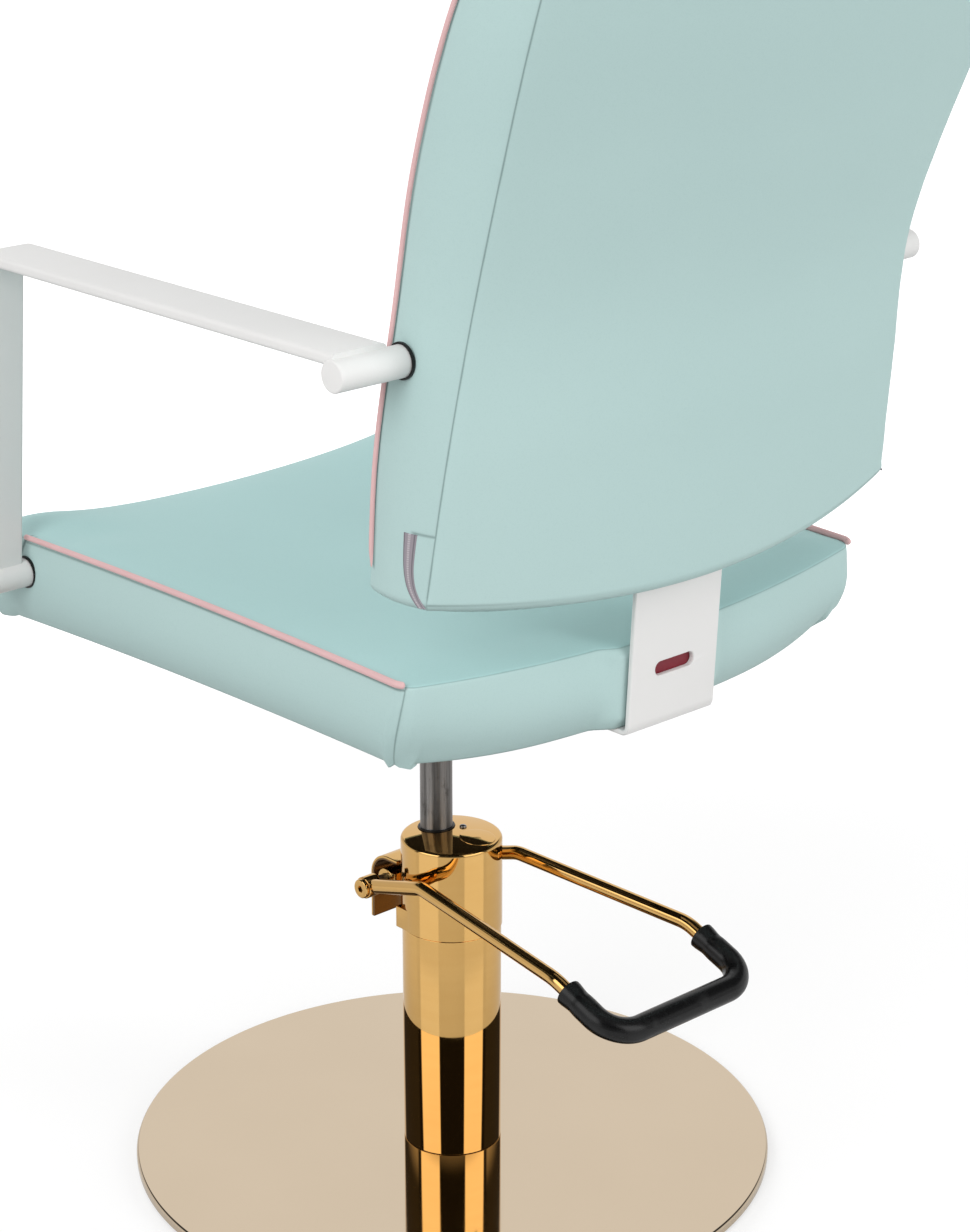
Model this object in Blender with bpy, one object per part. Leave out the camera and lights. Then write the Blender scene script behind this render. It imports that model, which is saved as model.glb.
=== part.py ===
"""Hydraulic hairdressing chair: round base, pump column with a U-shaped foot lever, padded seat and back.

Metres, +Z up. The origin is on the floor under the middle of the base. The sitter faces -Y,
so the foot lever reaches out behind the chair at +Y, and the sitter's left is +X.
"""
import math

import bmesh
import bpy
import numpy as np
from mathutils import Matrix

for leftover in list(bpy.data.objects):
    bpy.data.objects.remove(leftover, do_unlink=True)

# Fits shared by all pieces
FIT = 0.0003
RUNNING_FIT = 0.0002

# Base: rubber pad, steel ballast disc and the gold dish over it
BASE_RADIUS = 0.290
PAD_THICKNESS = 0.002
PAD_MARGIN = 0.006
WEIGHT_THICKNESS = 0.006
COVER_WALL = 0.0015
COVER_EDGE_ROUND = 0.003
WEIGHT_BOTTOM = PAD_THICKNESS + FIT
WEIGHT_TOP = WEIGHT_BOTTOM + WEIGHT_THICKNESS
COVER_CEILING = WEIGHT_TOP + FIT
BASE_TOP = COVER_CEILING + COVER_WALL

# Pump column and head
COLUMN_RADIUS = 0.0445
COLUMN_WALL = 0.002
PUMP_CLEARANCE = 0.0015
PUMP_RADIUS = COLUMN_RADIUS - COLUMN_WALL - PUMP_CLEARANCE
HEAD_OVERHANG = 0.001
HEAD_RADIUS = COLUMN_RADIUS + HEAD_OVERHANG
HEAD_BOTTOM = 0.224
HEAD_HEIGHT = 0.0846
HEAD_TOP = HEAD_BOTTOM + HEAD_HEIGHT
HEAD_EDGE_ROUND = 0.003
CHEEK_REACH = 0.0254
CHEEK_HEIGHT = 0.0205
CHEEK_SET_BACK = 0.001

# Ram: the rod stands off the column's middle, towards the front
ROD_RADIUS = 0.0145
ROD_OFFSET = -0.020
PISTON_STEP = 0.0021
PISTON_RADIUS = ROD_RADIUS + PISTON_STEP
PISTON_HEIGHT = 0.022
PISTON_TOP = 0.200
BORE_FLOOR = 0.040
SEAL_GROOVE_HEIGHT = 0.005
SEAL_GROOVE_DEPTH = 0.002

# Small pieces on the head's top face
WIPER_WIDTH = 0.0037
WIPER_DEPTH = 0.004
WIPER_PROUD = 0.0008
PLUG_RADIUS = 0.0162
PLUG_PLACE = (-0.010, 0.0235)
PLUG_DEPTH = 0.004
PLUG_PROUD = 0.001
BLEED_RADIUS = 0.0032
BLEED_HEIGHT = 0.002
BLEED_SHANK_RADIUS = 0.0016
BLEED_SHANK_LENGTH = 0.006
BLEED_PLACE = (-0.0150, -0.0010)

# Foot lever
PIVOT_SET_OFF = 0.0055
PIVOT_RISE = 0.034
PIVOT_Y = -(HEAD_RADIUS + PIVOT_SET_OFF)
PIVOT_Z = HEAD_BOTTOM + PIVOT_RISE
BARREL_RADIUS = 0.0105
BARREL_HALF_LENGTH = 0.034
BARREL_WEB_HALF_HEIGHT = 0.0090
SHAFT_RADIUS = 0.006
SHAFT_OVERHANG = 0.0065
SHAFT_HALF_LENGTH = HEAD_RADIUS + SHAFT_OVERHANG
EYE_RADIUS = 0.010
EYE_LENGTH = 0.0145
EYE_CLEARANCE = 0.0005
LEVER_BAR_RADIUS = 0.0065
LEVER_EYE_X = HEAD_RADIUS + 0.008
LEVER_KNEE = (HEAD_RADIUS + 0.012, PIVOT_Y + 0.076, PIVOT_Z + 0.024)
LEVER_KNEE_ROUND = 0.030
LEVER_DIP = (HEAD_RADIUS + 0.034, PIVOT_Y + 0.266, PIVOT_Z + 0.0135)
LEVER_DIP_ROUND = 0.050
LEVER_CORNER = (HEAD_RADIUS + 0.0345, PIVOT_Y + 0.339, PIVOT_Z - 0.014)
LEVER_CORNER_ROUND = 0.028
GRIP_WALL = 0.0047
GRIP_START_Y = PIVOT_Y + 0.2824
BOLT_HEAD_RADIUS = 0.0078
BOLT_HEAD_HEIGHT = 0.0032
BOLT_SHANK_RADIUS = 0.0056
BOLT_SOCKET_RADIUS = 0.0034
BOLT_SOCKET_DEPTH = 0.002

# Lever cam, the plunger that it presses, and the hood over them
CAM_RADIUS = 0.0083
CAM_HALF_WIDTH = 0.0128
CAM_SIDE_CLEARANCE = 0.0007
CAM_CLEARANCE = 0.0030
NOSE_REACH = 0.0105
NOSE_RADIUS = 0.004
NOSE_DROP = 0.002
PLUNGER_RADIUS = 0.004
PLUNGER_LENGTH = 0.015
PLUNGER_BORE_BASE = 0.0025
PLUNGER_BORE_FLOOR = HEAD_BOTTOM + PLUNGER_BORE_BASE
POCKET_BACK_WALL = 0.0007
SPRING_COIL_RADIUS = 0.0030
SPRING_WIRE_RADIUS = 0.0005
SPRING_TURNS = 5
HOOD_THICKNESS = 0.004
HOOD_RADIUS = 0.022
HOOD_HALF_WIDTH = 0.0325
HOOD_HANG = 0.043
HOOD_BOTTOM = PIVOT_Z - HOOD_HANG

# Seat plate under the seat
SEAT_UNDERSIDE = 0.498
PLATE_THICKNESS = 0.006
PLATE_HALF_WIDTH = 0.100
PLATE_HALF_DEPTH = 0.085
PLATE_CORNER = 0.020
SOCKET_LENGTH = 0.041
SOCKET_TOP_RADIUS = ROD_RADIUS + 0.0195
SOCKET_BOTTOM_RADIUS = ROD_RADIUS + 0.0095
PLATE_BOLT_INSET = 0.022
SCREW_SHANK_RADIUS = 0.004
SCREW_HEAD_RADIUS = 0.007
SCREW_HEAD_HEIGHT = 0.004

# Seat pad and the bent plywood board in its underside
SEAT_HALF_WIDTH = 0.2565
SEAT_FRONT = -0.345
SEAT_REAR = 0.2524
SEAT_MIDDLE = -0.020
SEAT_REAR_BOW = 0.0206
REAR_UNDERCUT = 0.019
SEAT_FRONT_CORNER = 0.028
SEAT_REAR_CORNER = 0.012
SEAT_DEPTH = 0.071
SEAT_CROWN = 0.006
SEAT_DISH = 0.014
FRONT_SCOOP = 0.5
SEAM_HEIGHT = SEAT_UNDERSIDE + SEAT_DEPTH
SEAT_TOP = SEAM_HEIGHT + SEAT_CROWN
SEAM_RISE = 0.0103
SEAM_CROWN = 0.004
SEAM_FALL_POWER = 10
FRONT_ROLL_LENGTH = 0.083
FRONT_ROLL_START = SEAT_FRONT + FRONT_ROLL_LENGTH
FRONT_ROLL_DROP = 0.020
FRONT_ROLL_TOP_SHARE = 0.3
SIDE_BULGE = 0.004
BOTTOM_DRAW_IN = 0.008
UNDERSIDE_FLAT = 0.42
UNDERSIDE_RISE = 0.0026
UNDERSIDE_SIDE_RISE = 0.0100
UNDERSIDE_PEAK_Y = 0.120
UNDERSIDE_REACH = 0.390
UNDERSIDE_FRONT_LENGTH = 0.045
UNDERSIDE_FRONT_START = SEAT_FRONT + 0.064
FRONT_HANG = 0.005
BOARD_THICKNESS = 0.012
BOARD_MARGIN = 0.020
BOARD_TOP_GAP = 0.0030

# Back pad: heights above its lower edge and, at each, how far the front edge and the rear seam stand
# behind the seat's rear, and how much wider than the seat each half is
BACK_GAP = 0.0795
BACK_BOTTOM = SEAM_HEIGHT + BACK_GAP
BACK_HEIGHTS = BACK_BOTTOM + np.array([0.0, 0.1045, 0.2185, 0.3325, 0.4375, 0.5015])
BACK_FRONT_EDGE = SEAT_REAR + np.array([-0.0569, -0.0569, -0.0439, -0.0134, 0.0341, 0.0696])
BACK_REAR_SEAM = SEAT_REAR + np.array([0.0070, 0.0209, 0.0393, 0.0773, 0.1196, 0.1456])
BACK_HALF_WIDTH = SEAT_HALF_WIDTH + np.array([0.0030, -0.0040, -0.0128, -0.0065, 0.0040, 0.0075])
BACK_TOP = float(BACK_HEIGHTS[-1])
BACK_FRONT_BOW = 0.034
BACK_FRONT_CROWN = 0.006
BACK_REAR_BOW = 0.038
BACK_GUSSET_BULGE = 0.006
BACK_BOTTOM_SAG = 0.0247
BACK_SAG_FADE = 0.110
BACK_TOP_ROUND = 0.034
BACK_BOTTOM_ROUND = 0.008
BACK_BOARD_THICKNESS = 0.012
BACK_BOARD_MARGIN = 0.050
BACK_BOARD_DROP = 0.013
BACK_BOARD_TOP_MARGIN = 0.070
BACK_BOARD_BOTTOM = BACK_BOTTOM - BACK_BOARD_DROP
BACK_BOARD_TOP = BACK_TOP - BACK_BOARD_TOP_MARGIN

# White rear bracket with the dark red plate behind its slot
BRACKET_HALF_WIDTH = 0.0495
BRACKET_THICKNESS = 0.0045
BRACKET_STAND_OFF = 0.0136
BRACKET_FACE_Y = SEAT_REAR + BRACKET_STAND_OFF
BRACKET_LEAN = math.radians(3.2)
BRACKET_BEND_ROUND = 0.005
BRACKET_TONGUE = 0.1115
BRACKET_TOP = BACK_BOTTOM + BRACKET_TONGUE
FLANGE_LENGTH = 0.1324
FLANGE_FRONT = SEAT_REAR - FLANGE_LENGTH
SLOT_LENGTH = 0.044
SLOT_WIDTH = 0.012
SLOT_RISE = 0.047
SLOT_HEIGHT = SEAT_UNDERSIDE + SLOT_RISE
BACKING_THICKNESS = 0.002
BACKING_HALF_WIDTH = 0.036
BACKING_HALF_HEIGHT = 0.034
BACKING_BOTTOM = SLOT_HEIGHT - BACKING_HALF_HEIGHT
BACKING_TOP = SLOT_HEIGHT + BACKING_HALF_HEIGHT
FLANGE_BOLT_SPACING = 0.050
FLANGE_BOLT_SET_BACK = 0.045
FLANGE_BOLT_Y = FLANGE_FRONT + FLANGE_BOLT_SET_BACK

# Armrests
ARM_STAND_OFF = 0.0107
ARM_INNER_X = SEAT_HALF_WIDTH + ARM_STAND_OFF
ARM_WIDTH = 0.0514
ARM_OUTER_X = ARM_INNER_X + ARM_WIDTH
ARM_THICKNESS = 0.0102
ARM_RISE = 0.2750
ARM_TOP = SEAT_TOP + ARM_RISE
ARM_BEND_ROUND = 0.020
ARM_ROD_RADIUS = 0.0125
ARM_ROD_PROUD = 0.001
ARM_ROD_TOP_GAP = 0.0040
REAR_ROD_SET_BACK = 0.0244
REAR_ROD_Y = SEAT_REAR - REAR_ROD_SET_BACK
REAR_ROD_Z = ARM_TOP - ARM_ROD_TOP_GAP - ARM_ROD_RADIUS
FRONT_ROD_SET_BACK = 0.0847
FRONT_ROD_DROP = 0.018
FRONT_ROD_Y = SEAT_FRONT + FRONT_ROD_SET_BACK
FRONT_ROD_Z = SEAM_HEIGHT - FRONT_ROD_DROP
POST_LEAN = 0.0962
ARM_RING_WALL = 0.0015
ARM_RING_WIDTH = 0.0015
ARM_RING_GAP = 0.0005
BLOCK_GAP = 0.0007
SEAT_BLOCK_WIDTH = 0.030
SEAT_BLOCK_LENGTH = 0.030
SEAT_BLOCK_RISE = 0.0057
SEAT_BLOCK_COVER = 0.0305
SEAT_BLOCK_OUTER_X = SEAT_HALF_WIDTH - SEAT_BLOCK_COVER
BACK_BLOCK_WIDTH = 0.030
BACK_BLOCK_HEIGHT = 0.050
BACK_BLOCK_COVER = 0.0605
BACK_BLOCK_FRONT_GAP = 0.0025
BACK_BLOCK_FRONT_Y = REAR_ROD_Y - BACK_BLOCK_FRONT_GAP
BACK_BLOCK_OUTER_X = SEAT_HALF_WIDTH - BACK_BLOCK_COVER

# Piping and zips
PIPING_RADIUS = 0.0024
PIPING_GAP = 0.0005
SEAT_PIPING_FRONT = SEAT_FRONT + 0.077
SEAT_PIPING_REAR = SEAT_REAR - 0.0264
BACK_PIPING_BOTTOM = BACK_BOTTOM + 0.0235
BACK_PIPING_TOP = BACK_TOP - 0.022
ZIP_WIDTH = 0.009
ZIP_THICKNESS = 0.001
ZIP_TOP = BACK_BOTTOM + 0.0585
ZIP_BOTTOM = BACK_BOTTOM + 0.004
ZIP_TOP_Y = SEAT_REAR - 0.0099
ZIP_SWEEP = 0.0125

ROUND_SEGMENTS = 40
SMALL_SEGMENTS = 20
BASE_SEGMENTS = 64
HEAD_SEGMENTS = 48
SCREW_SEGMENTS = 12
BAR_SIDES = 10
PIPING_SIDES = 6
WIRE_SIDES = 4


def finish(name, colour, roughness, metallic):
    """One plain surface finish: base colour, roughness and metallic value."""
    material = bpy.data.materials.new(name)
    material.use_nodes = True
    shader = material.node_tree.nodes["Principled BSDF"]
    shader.inputs["Base Color"].default_value = (*colour, 1.0)
    shader.inputs["Roughness"].default_value = roughness
    shader.inputs["Metallic"].default_value = metallic
    return material


GOLD = finish("gold_plate", (0.78, 0.52, 0.22), 0.08, 1.0)
BARE_STEEL = finish("bare_steel", (0.42, 0.42, 0.42), 0.30, 1.0)
DARK_STEEL = finish("dark_steel", (0.10, 0.10, 0.11), 0.50, 0.8)
WHITE_PAINT = finish("white_paint", (0.80, 0.78, 0.75), 0.40, 0.0)
RED_PAINT = finish("red_paint", (0.20, 0.01, 0.02), 0.45, 0.0)
MINT_HIDE = finish("mint_leatherette", (0.46, 0.63, 0.61), 0.45, 0.0)
PINK_CORD = finish("pink_piping", (0.78, 0.48, 0.48), 0.50, 0.0)
GREY_ZIP = finish("grey_zip", (0.35, 0.31, 0.33), 0.60, 0.0)
BLACK_RUBBER = finish("black_rubber", (0.012, 0.012, 0.013), 0.45, 0.0)
PLYWOOD = finish("plywood", (0.55, 0.38, 0.22), 0.60, 0.0)


def axis_frame(name, place, parent=None):
    """An empty on a joint's axis, which the moving pieces hang from."""
    frame = bpy.data.objects.new(name, None)
    bpy.context.collection.objects.link(frame)
    frame.parent = parent
    base = parent.location if parent else (0.0, 0.0, 0.0)
    frame.location = [place[i] - base[i] for i in range(3)]
    return frame


def outward(mesh):
    """Turn every face of a closed mesh to point out."""
    work = bmesh.new()
    work.from_mesh(mesh)
    bmesh.ops.recalc_face_normals(work, faces=work.faces)
    work.to_mesh(mesh)
    work.free()


def solid(name, points, faces, surface):
    """A closed mesh object in world coordinates."""
    mesh = bpy.data.meshes.new(name)
    mesh.from_pydata([tuple(float(c) for c in p) for p in points], [], faces)
    outward(mesh)
    mesh.materials.append(surface)
    piece = bpy.data.objects.new(name, mesh)
    bpy.context.collection.objects.link(piece)
    return piece


def combine(target, tool, operation, solver):
    """Union with a tool, or cut by it. The tool is used up."""
    step = target.modifiers.new("shape", 'BOOLEAN')
    step.operation = operation
    step.solver = solver
    step.object = tool
    scene_state = bpy.context.evaluated_depsgraph_get()
    shaped = bpy.data.meshes.new_from_object(target.evaluated_get(scene_state))
    target.modifiers.clear()
    target.data = shaped
    bpy.data.objects.remove(tool, do_unlink=True)


def add(target, tool, solver='EXACT'):
    combine(target, tool, 'UNION', solver)


def cut(target, tool, solver='EXACT'):
    combine(target, tool, 'DIFFERENCE', solver)


def settle(piece, frame=None):
    """Smooth-shade a finished piece and hang it from its joint's axis."""
    piece.data.shade_smooth()
    piece.data.set_sharp_from_angle(angle=math.radians(35))
    if frame is None:
        return piece
    bpy.context.view_layer.update()
    place = frame.matrix_world.translation
    piece.data.transform(Matrix.Translation(-place))
    piece.parent = frame
    return piece


def strip_faces(count, rings, closed):
    """Quads between neighbouring rings of count points each."""
    faces = []
    spans = rings if closed else rings - 1
    for r in range(spans):
        near = r * count
        far = ((r + 1) % rings) * count
        for i in range(count):
            j = (i + 1) % count
            faces.append((near + i, near + j, far + j, far + i))
    return faces


def loft(name, rings, surface, closed=False):
    """Skin over rings of equally many points. Open ends get a fan to their middle."""
    count = len(rings[0])
    points = [p for ring in rings for p in ring]
    faces = strip_faces(count, len(rings), closed)
    if not closed:
        for start in (0, (len(rings) - 1) * count):
            hub = len(points)
            points.append(np.mean(points[start:start + count], axis=0))
            faces += [(start + i, start + (i + 1) % count, hub) for i in range(count)]
    return solid(name, points, faces, surface)


def circle(radius, height, centre=(0.0, 0.0), axis='Z', segments=ROUND_SEGMENTS):
    """Points of a circle across the Z or the X axis."""
    turn = np.arange(segments) * 2.0 * math.pi / segments
    first = centre[0] + radius * np.cos(turn)
    second = centre[1] + radius * np.sin(turn)
    along = np.full(segments, height)
    if axis == 'Z':
        return np.stack([first, second, along], axis=1)
    return np.stack([along, first, second], axis=1)


def turned(name, profile, surface, centre=(0.0, 0.0), axis='Z', segments=ROUND_SEGMENTS, bored=False):
    """Turn a profile of (radius, height) points. A bored piece has a closed profile clear of its axis."""
    rings = [circle(r, h, centre, axis, segments) for r, h in profile]
    return loft(name, rings, surface, closed=bored)


def bore_tool(radius, low, high, centre=(0.0, 0.0), axis='Z', segments=ROUND_SEGMENTS):
    """A cutter whose flats, not its corners, lie at the radius."""
    corner_radius = radius / math.cos(math.pi / segments)
    return turned("cutter", [(corner_radius, low), (corner_radius, high)], BARE_STEEL,
                  centre, axis, segments)


def prism_x(name, outline, low, high, surface):
    """Carry a closed (y, z) outline along X."""
    count = len(outline)
    points = [(x, y, z) for x in (low, high) for y, z in outline]
    faces = strip_faces(count, 2, False)
    faces += [tuple(range(count)), tuple(range(count, 2 * count))]
    return solid(name, points, faces, surface)


def prism_z(name, outline, low, high, surface):
    """Carry a closed (x, y) outline along Z."""
    count = len(outline)
    points = [(x, y, z) for z in (low, high) for x, y in outline]
    faces = strip_faces(count, 2, False)
    faces += [tuple(range(count)), tuple(range(count, 2 * count))]
    return solid(name, points, faces, surface)


def block(name, low, high, surface):
    """A box between two corners."""
    outline = [(low[1], low[2]), (high[1], low[2]), (high[1], high[2]), (low[1], high[2])]
    return prism_x(name, outline, low[0], high[0], surface)


def rounded_path(corners, rounds, steps=5):
    """A path of straight runs whose inner corners are arcs of the given radii."""
    corners = [np.array(c, dtype=float) for c in corners]
    path = [corners[0]]
    for before, corner, after, radius in zip(corners, corners[1:], corners[2:], rounds):
        back = (before - corner) / np.linalg.norm(before - corner)
        ahead = (after - corner) / np.linalg.norm(after - corner)
        half = 0.5 * math.acos(np.clip(np.dot(back, ahead), -1.0, 1.0))
        middle = (back + ahead) / np.linalg.norm(back + ahead)
        centre = corner + middle * radius / math.sin(half)
        reach = radius / math.tan(half)
        start = corner + back * reach - centre
        end = corner + ahead * reach - centre
        sweep = math.pi - 2.0 * half
        for k in range(steps + 1):
            share = k / steps
            mixed = (math.sin((1 - share) * sweep) * start + math.sin(share * sweep) * end)
            path.append(centre + mixed / math.sin(sweep))
    path.append(corners[-1])
    return np.array(path)


def strip_outline(path, thickness):
    """Closed outline of a flat strip of constant thickness along a plane path."""
    ahead = np.gradient(path, axis=0)
    ahead[0] = path[1] - path[0]
    ahead[-1] = path[-1] - path[-2]
    ahead /= np.linalg.norm(ahead, axis=1)[:, None]
    across = np.stack([-ahead[:, 1], ahead[:, 0]], axis=1) * thickness / 2.0
    return [tuple(p) for p in np.concatenate([path + across, (path - across)[::-1]])]


def tube_rings(path, radius, sides):
    """Circles across a path, carried along it without twist."""
    ahead = np.gradient(path, axis=0)
    ahead /= np.linalg.norm(ahead, axis=1)[:, None]
    side = np.cross(ahead[0], (0.0, 0.0, 1.0))
    side /= np.linalg.norm(side)
    turn = np.arange(sides) * 2.0 * math.pi / sides
    rings = []
    for place, forward in zip(path, ahead):
        side = side - forward * np.dot(side, forward)
        side /= np.linalg.norm(side)
        up = np.cross(forward, side)
        rings.append(place + radius * (np.cos(turn)[:, None] * side + np.sin(turn)[:, None] * up))
    return rings


def mirrored(points):
    """The same points on the other side of the chair."""
    return np.asarray(points) * (-1.0, 1.0, 1.0)


def through(knots, values, at):
    """A smooth curve through the values at the knots."""
    at = np.asarray(at, dtype=float)
    slope = np.gradient(values, knots)
    i = np.clip(np.searchsorted(knots, at) - 1, 0, len(knots) - 2)
    span = knots[i + 1] - knots[i]
    u = (at - knots[i]) / span
    rise = values[i + 1] - values[i]
    bend = u * u * (3.0 - 2.0 * u)
    start = u * (1.0 - u) ** 2 * slope[i] * span
    end = u * u * (u - 1.0) * slope[i + 1] * span
    return values[i] + rise * bend + start + end


# Joint axes
lever_axis = axis_frame("lever_axis", (0.0, PIVOT_Y, PIVOT_Z))
plunger_axis = axis_frame("plunger_axis", (0.0, PIVOT_Y + NOSE_REACH, PIVOT_Z))
lift_axis = axis_frame("lift_axis", (0.0, ROD_OFFSET, PISTON_TOP))
swivel_axis = axis_frame("swivel_axis", (0.0, ROD_OFFSET, PISTON_TOP), lift_axis)


def base_pad():
    """Rubber underlay, the face that the chair stands on."""
    radius = BASE_RADIUS - PAD_MARGIN
    profile = [(radius, 0.0), (radius, PAD_THICKNESS)]
    return settle(turned("base_pad", profile, BLACK_RUBBER, segments=BASE_SEGMENTS))


def base_weight():
    """Ballast disc with a chamfer that clears the round edge of the cover."""
    radius = BASE_RADIUS - COVER_WALL - FIT
    chamfer = COVER_EDGE_ROUND
    profile = [(radius, WEIGHT_BOTTOM), (radius, WEIGHT_TOP - chamfer), (radius - chamfer, WEIGHT_TOP)]
    return settle(turned("base_weight", profile, DARK_STEEL, segments=BASE_SEGMENTS))


def quarter_round(radius, height, size, steps=3):
    """Profile points of a rounded top outer edge, from the side to the top."""
    turn = np.linspace(0.0, math.pi / 2.0, steps + 1)
    return [(radius - size + size * math.cos(a), height - size + size * math.sin(a)) for a in turn]


def base_cover():
    """Gold dish with a rounded rim and a round hole that the pump stands in."""
    hole = PUMP_RADIUS + FIT
    inside = BASE_RADIUS - COVER_WALL
    inner_round = COVER_EDGE_ROUND - COVER_WALL
    profile = [(hole, COVER_CEILING)]
    profile += quarter_round(inside, COVER_CEILING, inner_round)[::-1]
    profile += [(inside, WEIGHT_BOTTOM), (BASE_RADIUS, WEIGHT_BOTTOM)]
    profile += quarter_round(BASE_RADIUS, BASE_TOP, COVER_EDGE_ROUND)
    profile += [(hole, BASE_TOP)]
    return settle(turned("base_cover", profile, GOLD, segments=BASE_SEGMENTS, bored=True))


def column_cover():
    """Gold tube that stands on the base cover and hides the pump."""
    low = BASE_TOP + FIT
    high = HEAD_BOTTOM - FIT
    inner = COLUMN_RADIUS - COLUMN_WALL
    profile = [(inner, low), (COLUMN_RADIUS, low), (COLUMN_RADIUS, high), (inner, high)]
    return settle(turned("column_cover", profile, GOLD, bored=True))


def pump_cylinder():
    """Steel pump body with the ram's blind bore, which the head closes."""
    low = WEIGHT_TOP + FIT
    high = HEAD_BOTTOM - FIT
    body = turned("pump_cylinder", [(PUMP_RADIUS, low), (PUMP_RADIUS, high)], DARK_STEEL)
    cut(body, bore_tool(PISTON_RADIUS + RUNNING_FIT, BORE_FLOOR, high + COLUMN_WALL, (0.0, ROD_OFFSET)))
    return settle(body)


PLUNGER_Y = PIVOT_Y + NOSE_REACH
POCKET_FLOOR = PIVOT_Z - CAM_RADIUS - CAM_CLEARANCE
PLUNGER_TOP = PIVOT_Z - NOSE_DROP - NOSE_RADIUS - FIT
PLUNGER_BOTTOM = PLUNGER_TOP - PLUNGER_LENGTH


def head_bosses():
    """What stands out of the head's round body: low flat cheeks, the lever's barrel and its web."""
    cheek = HEAD_RADIUS - CHEEK_SET_BACK
    half = BARREL_HALF_LENGTH
    web = BARREL_WEB_HALF_HEIGHT
    return [
        block("cheeks", (-cheek, -CHEEK_REACH, HEAD_BOTTOM + FIT),
              (cheek, 0.0, HEAD_BOTTOM + CHEEK_HEIGHT), GOLD),
        turned("barrel", [(BARREL_RADIUS, -half), (BARREL_RADIUS, half)], GOLD,
               (PIVOT_Y, PIVOT_Z), 'X', SMALL_SEGMENTS),
        block("web", (-half + FIT, PIVOT_Y, PIVOT_Z - web), (half - FIT, ROD_OFFSET, PIVOT_Z + web), GOLD),
    ]


def head_hollows():
    """What is cut from the head: bores for rod, wiper, plug, screw, shaft and plunger, and a cam pocket."""
    below = HEAD_BOTTOM - HEAD_HEIGHT
    above = HEAD_TOP + HEAD_HEIGHT
    rod_bore = ROD_RADIUS + RUNNING_FIT
    rod_place = (0.0, ROD_OFFSET)
    pocket = CAM_HALF_WIDTH + CAM_SIDE_CLEARANCE
    pocket_back = ROD_OFFSET - rod_bore - POCKET_BACK_WALL
    screw_floor = HEAD_TOP - BLEED_SHANK_LENGTH - FIT
    return [
        bore_tool(rod_bore, below, above, rod_place),
        bore_tool(rod_bore + WIPER_WIDTH + FIT, HEAD_TOP - WIPER_DEPTH, above, rod_place),
        bore_tool(PLUG_RADIUS + FIT, HEAD_TOP - PLUG_DEPTH, above, PLUG_PLACE, segments=SMALL_SEGMENTS),
        bore_tool(BLEED_SHANK_RADIUS + FIT, screw_floor, above, BLEED_PLACE, segments=SMALL_SEGMENTS),
        bore_tool(SHAFT_RADIUS + RUNNING_FIT, -SHAFT_HALF_LENGTH, SHAFT_HALF_LENGTH,
                  (PIVOT_Y, PIVOT_Z), 'X', SMALL_SEGMENTS),
        bore_tool(PLUNGER_RADIUS + RUNNING_FIT, PLUNGER_BORE_FLOOR, PIVOT_Z,
                  (0.0, PLUNGER_Y), segments=SMALL_SEGMENTS),
        block("pocket", (-pocket, PIVOT_Y - 2 * BARREL_RADIUS, POCKET_FLOOR),
              (pocket, pocket_back, PIVOT_Z + BARREL_RADIUS + CAM_CLEARANCE), GOLD),
    ]


def pump_head():
    """Cast head: a round body with a rounded top, its bosses and its hollows."""
    profile = [(HEAD_RADIUS, HEAD_BOTTOM)] + quarter_round(HEAD_RADIUS, HEAD_TOP, HEAD_EDGE_ROUND)
    body = turned("pump_head", profile, GOLD, segments=HEAD_SEGMENTS)
    for boss in head_bosses():
        add(body, boss, 'MANIFOLD')
    for hollow in head_hollows():
        cut(body, hollow, 'MANIFOLD')
    return settle(body)


def rod_seal():
    """Wiper ring let into the head round the rod."""
    inner = (ROD_RADIUS + RUNNING_FIT) / math.cos(math.pi / ROUND_SEGMENTS)
    outer = inner + WIPER_WIDTH
    low = HEAD_TOP - WIPER_DEPTH + FIT
    high = HEAD_TOP + WIPER_PROUD
    profile = [(inner, low), (outer - FIT, low), (outer - FIT, high - WIPER_PROUD), (inner, high)]
    return settle(turned("rod_seal", profile, DARK_STEEL, (0.0, ROD_OFFSET), bored=True))


def head_plug():
    """Oil filler plug with a slightly domed top."""
    low = HEAD_TOP - PLUG_DEPTH + FIT
    profile = [(PLUG_RADIUS, low), (PLUG_RADIUS, HEAD_TOP), (PLUG_RADIUS * 0.8, HEAD_TOP + PLUG_PROUD)]
    return settle(turned("head_plug", profile, GOLD, PLUG_PLACE, segments=SMALL_SEGMENTS))


def bleed_screw():
    """Small round-headed screw beside the rod."""
    seat = HEAD_TOP + FIT
    profile = [(BLEED_SHANK_RADIUS, HEAD_TOP - BLEED_SHANK_LENGTH), (BLEED_SHANK_RADIUS, seat),
               (BLEED_RADIUS, seat), (BLEED_RADIUS * 0.8, seat + BLEED_HEIGHT * 0.7),
               (BLEED_RADIUS * 0.4, seat + BLEED_HEIGHT)]
    return settle(turned("bleed_screw", profile, BARE_STEEL, BLEED_PLACE, segments=SCREW_SEGMENTS))


def lever_hood():
    """Bent plate that leaves the head's front, rolls over the barrel and hangs down before it."""
    radius = HOOD_RADIUS - HOOD_THICKNESS / 2.0
    turn = np.linspace(math.pi / 2.0, math.pi, 9)
    roll = [(PIVOT_Y + radius * math.cos(a), PIVOT_Z + radius * math.sin(a)) for a in turn]
    path = np.array([(ROD_OFFSET, PIVOT_Z + radius)] + roll + [(PIVOT_Y - radius, HOOD_BOTTOM)])
    hood = prism_x("lever_hood", strip_outline(path, HOOD_THICKNESS), -HOOD_HALF_WIDTH, HOOD_HALF_WIDTH, GOLD)
    cut(hood, bore_tool(HEAD_RADIUS + FIT, HEAD_BOTTOM, HEAD_TOP, segments=HEAD_SEGMENTS))
    return settle(hood)


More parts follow.
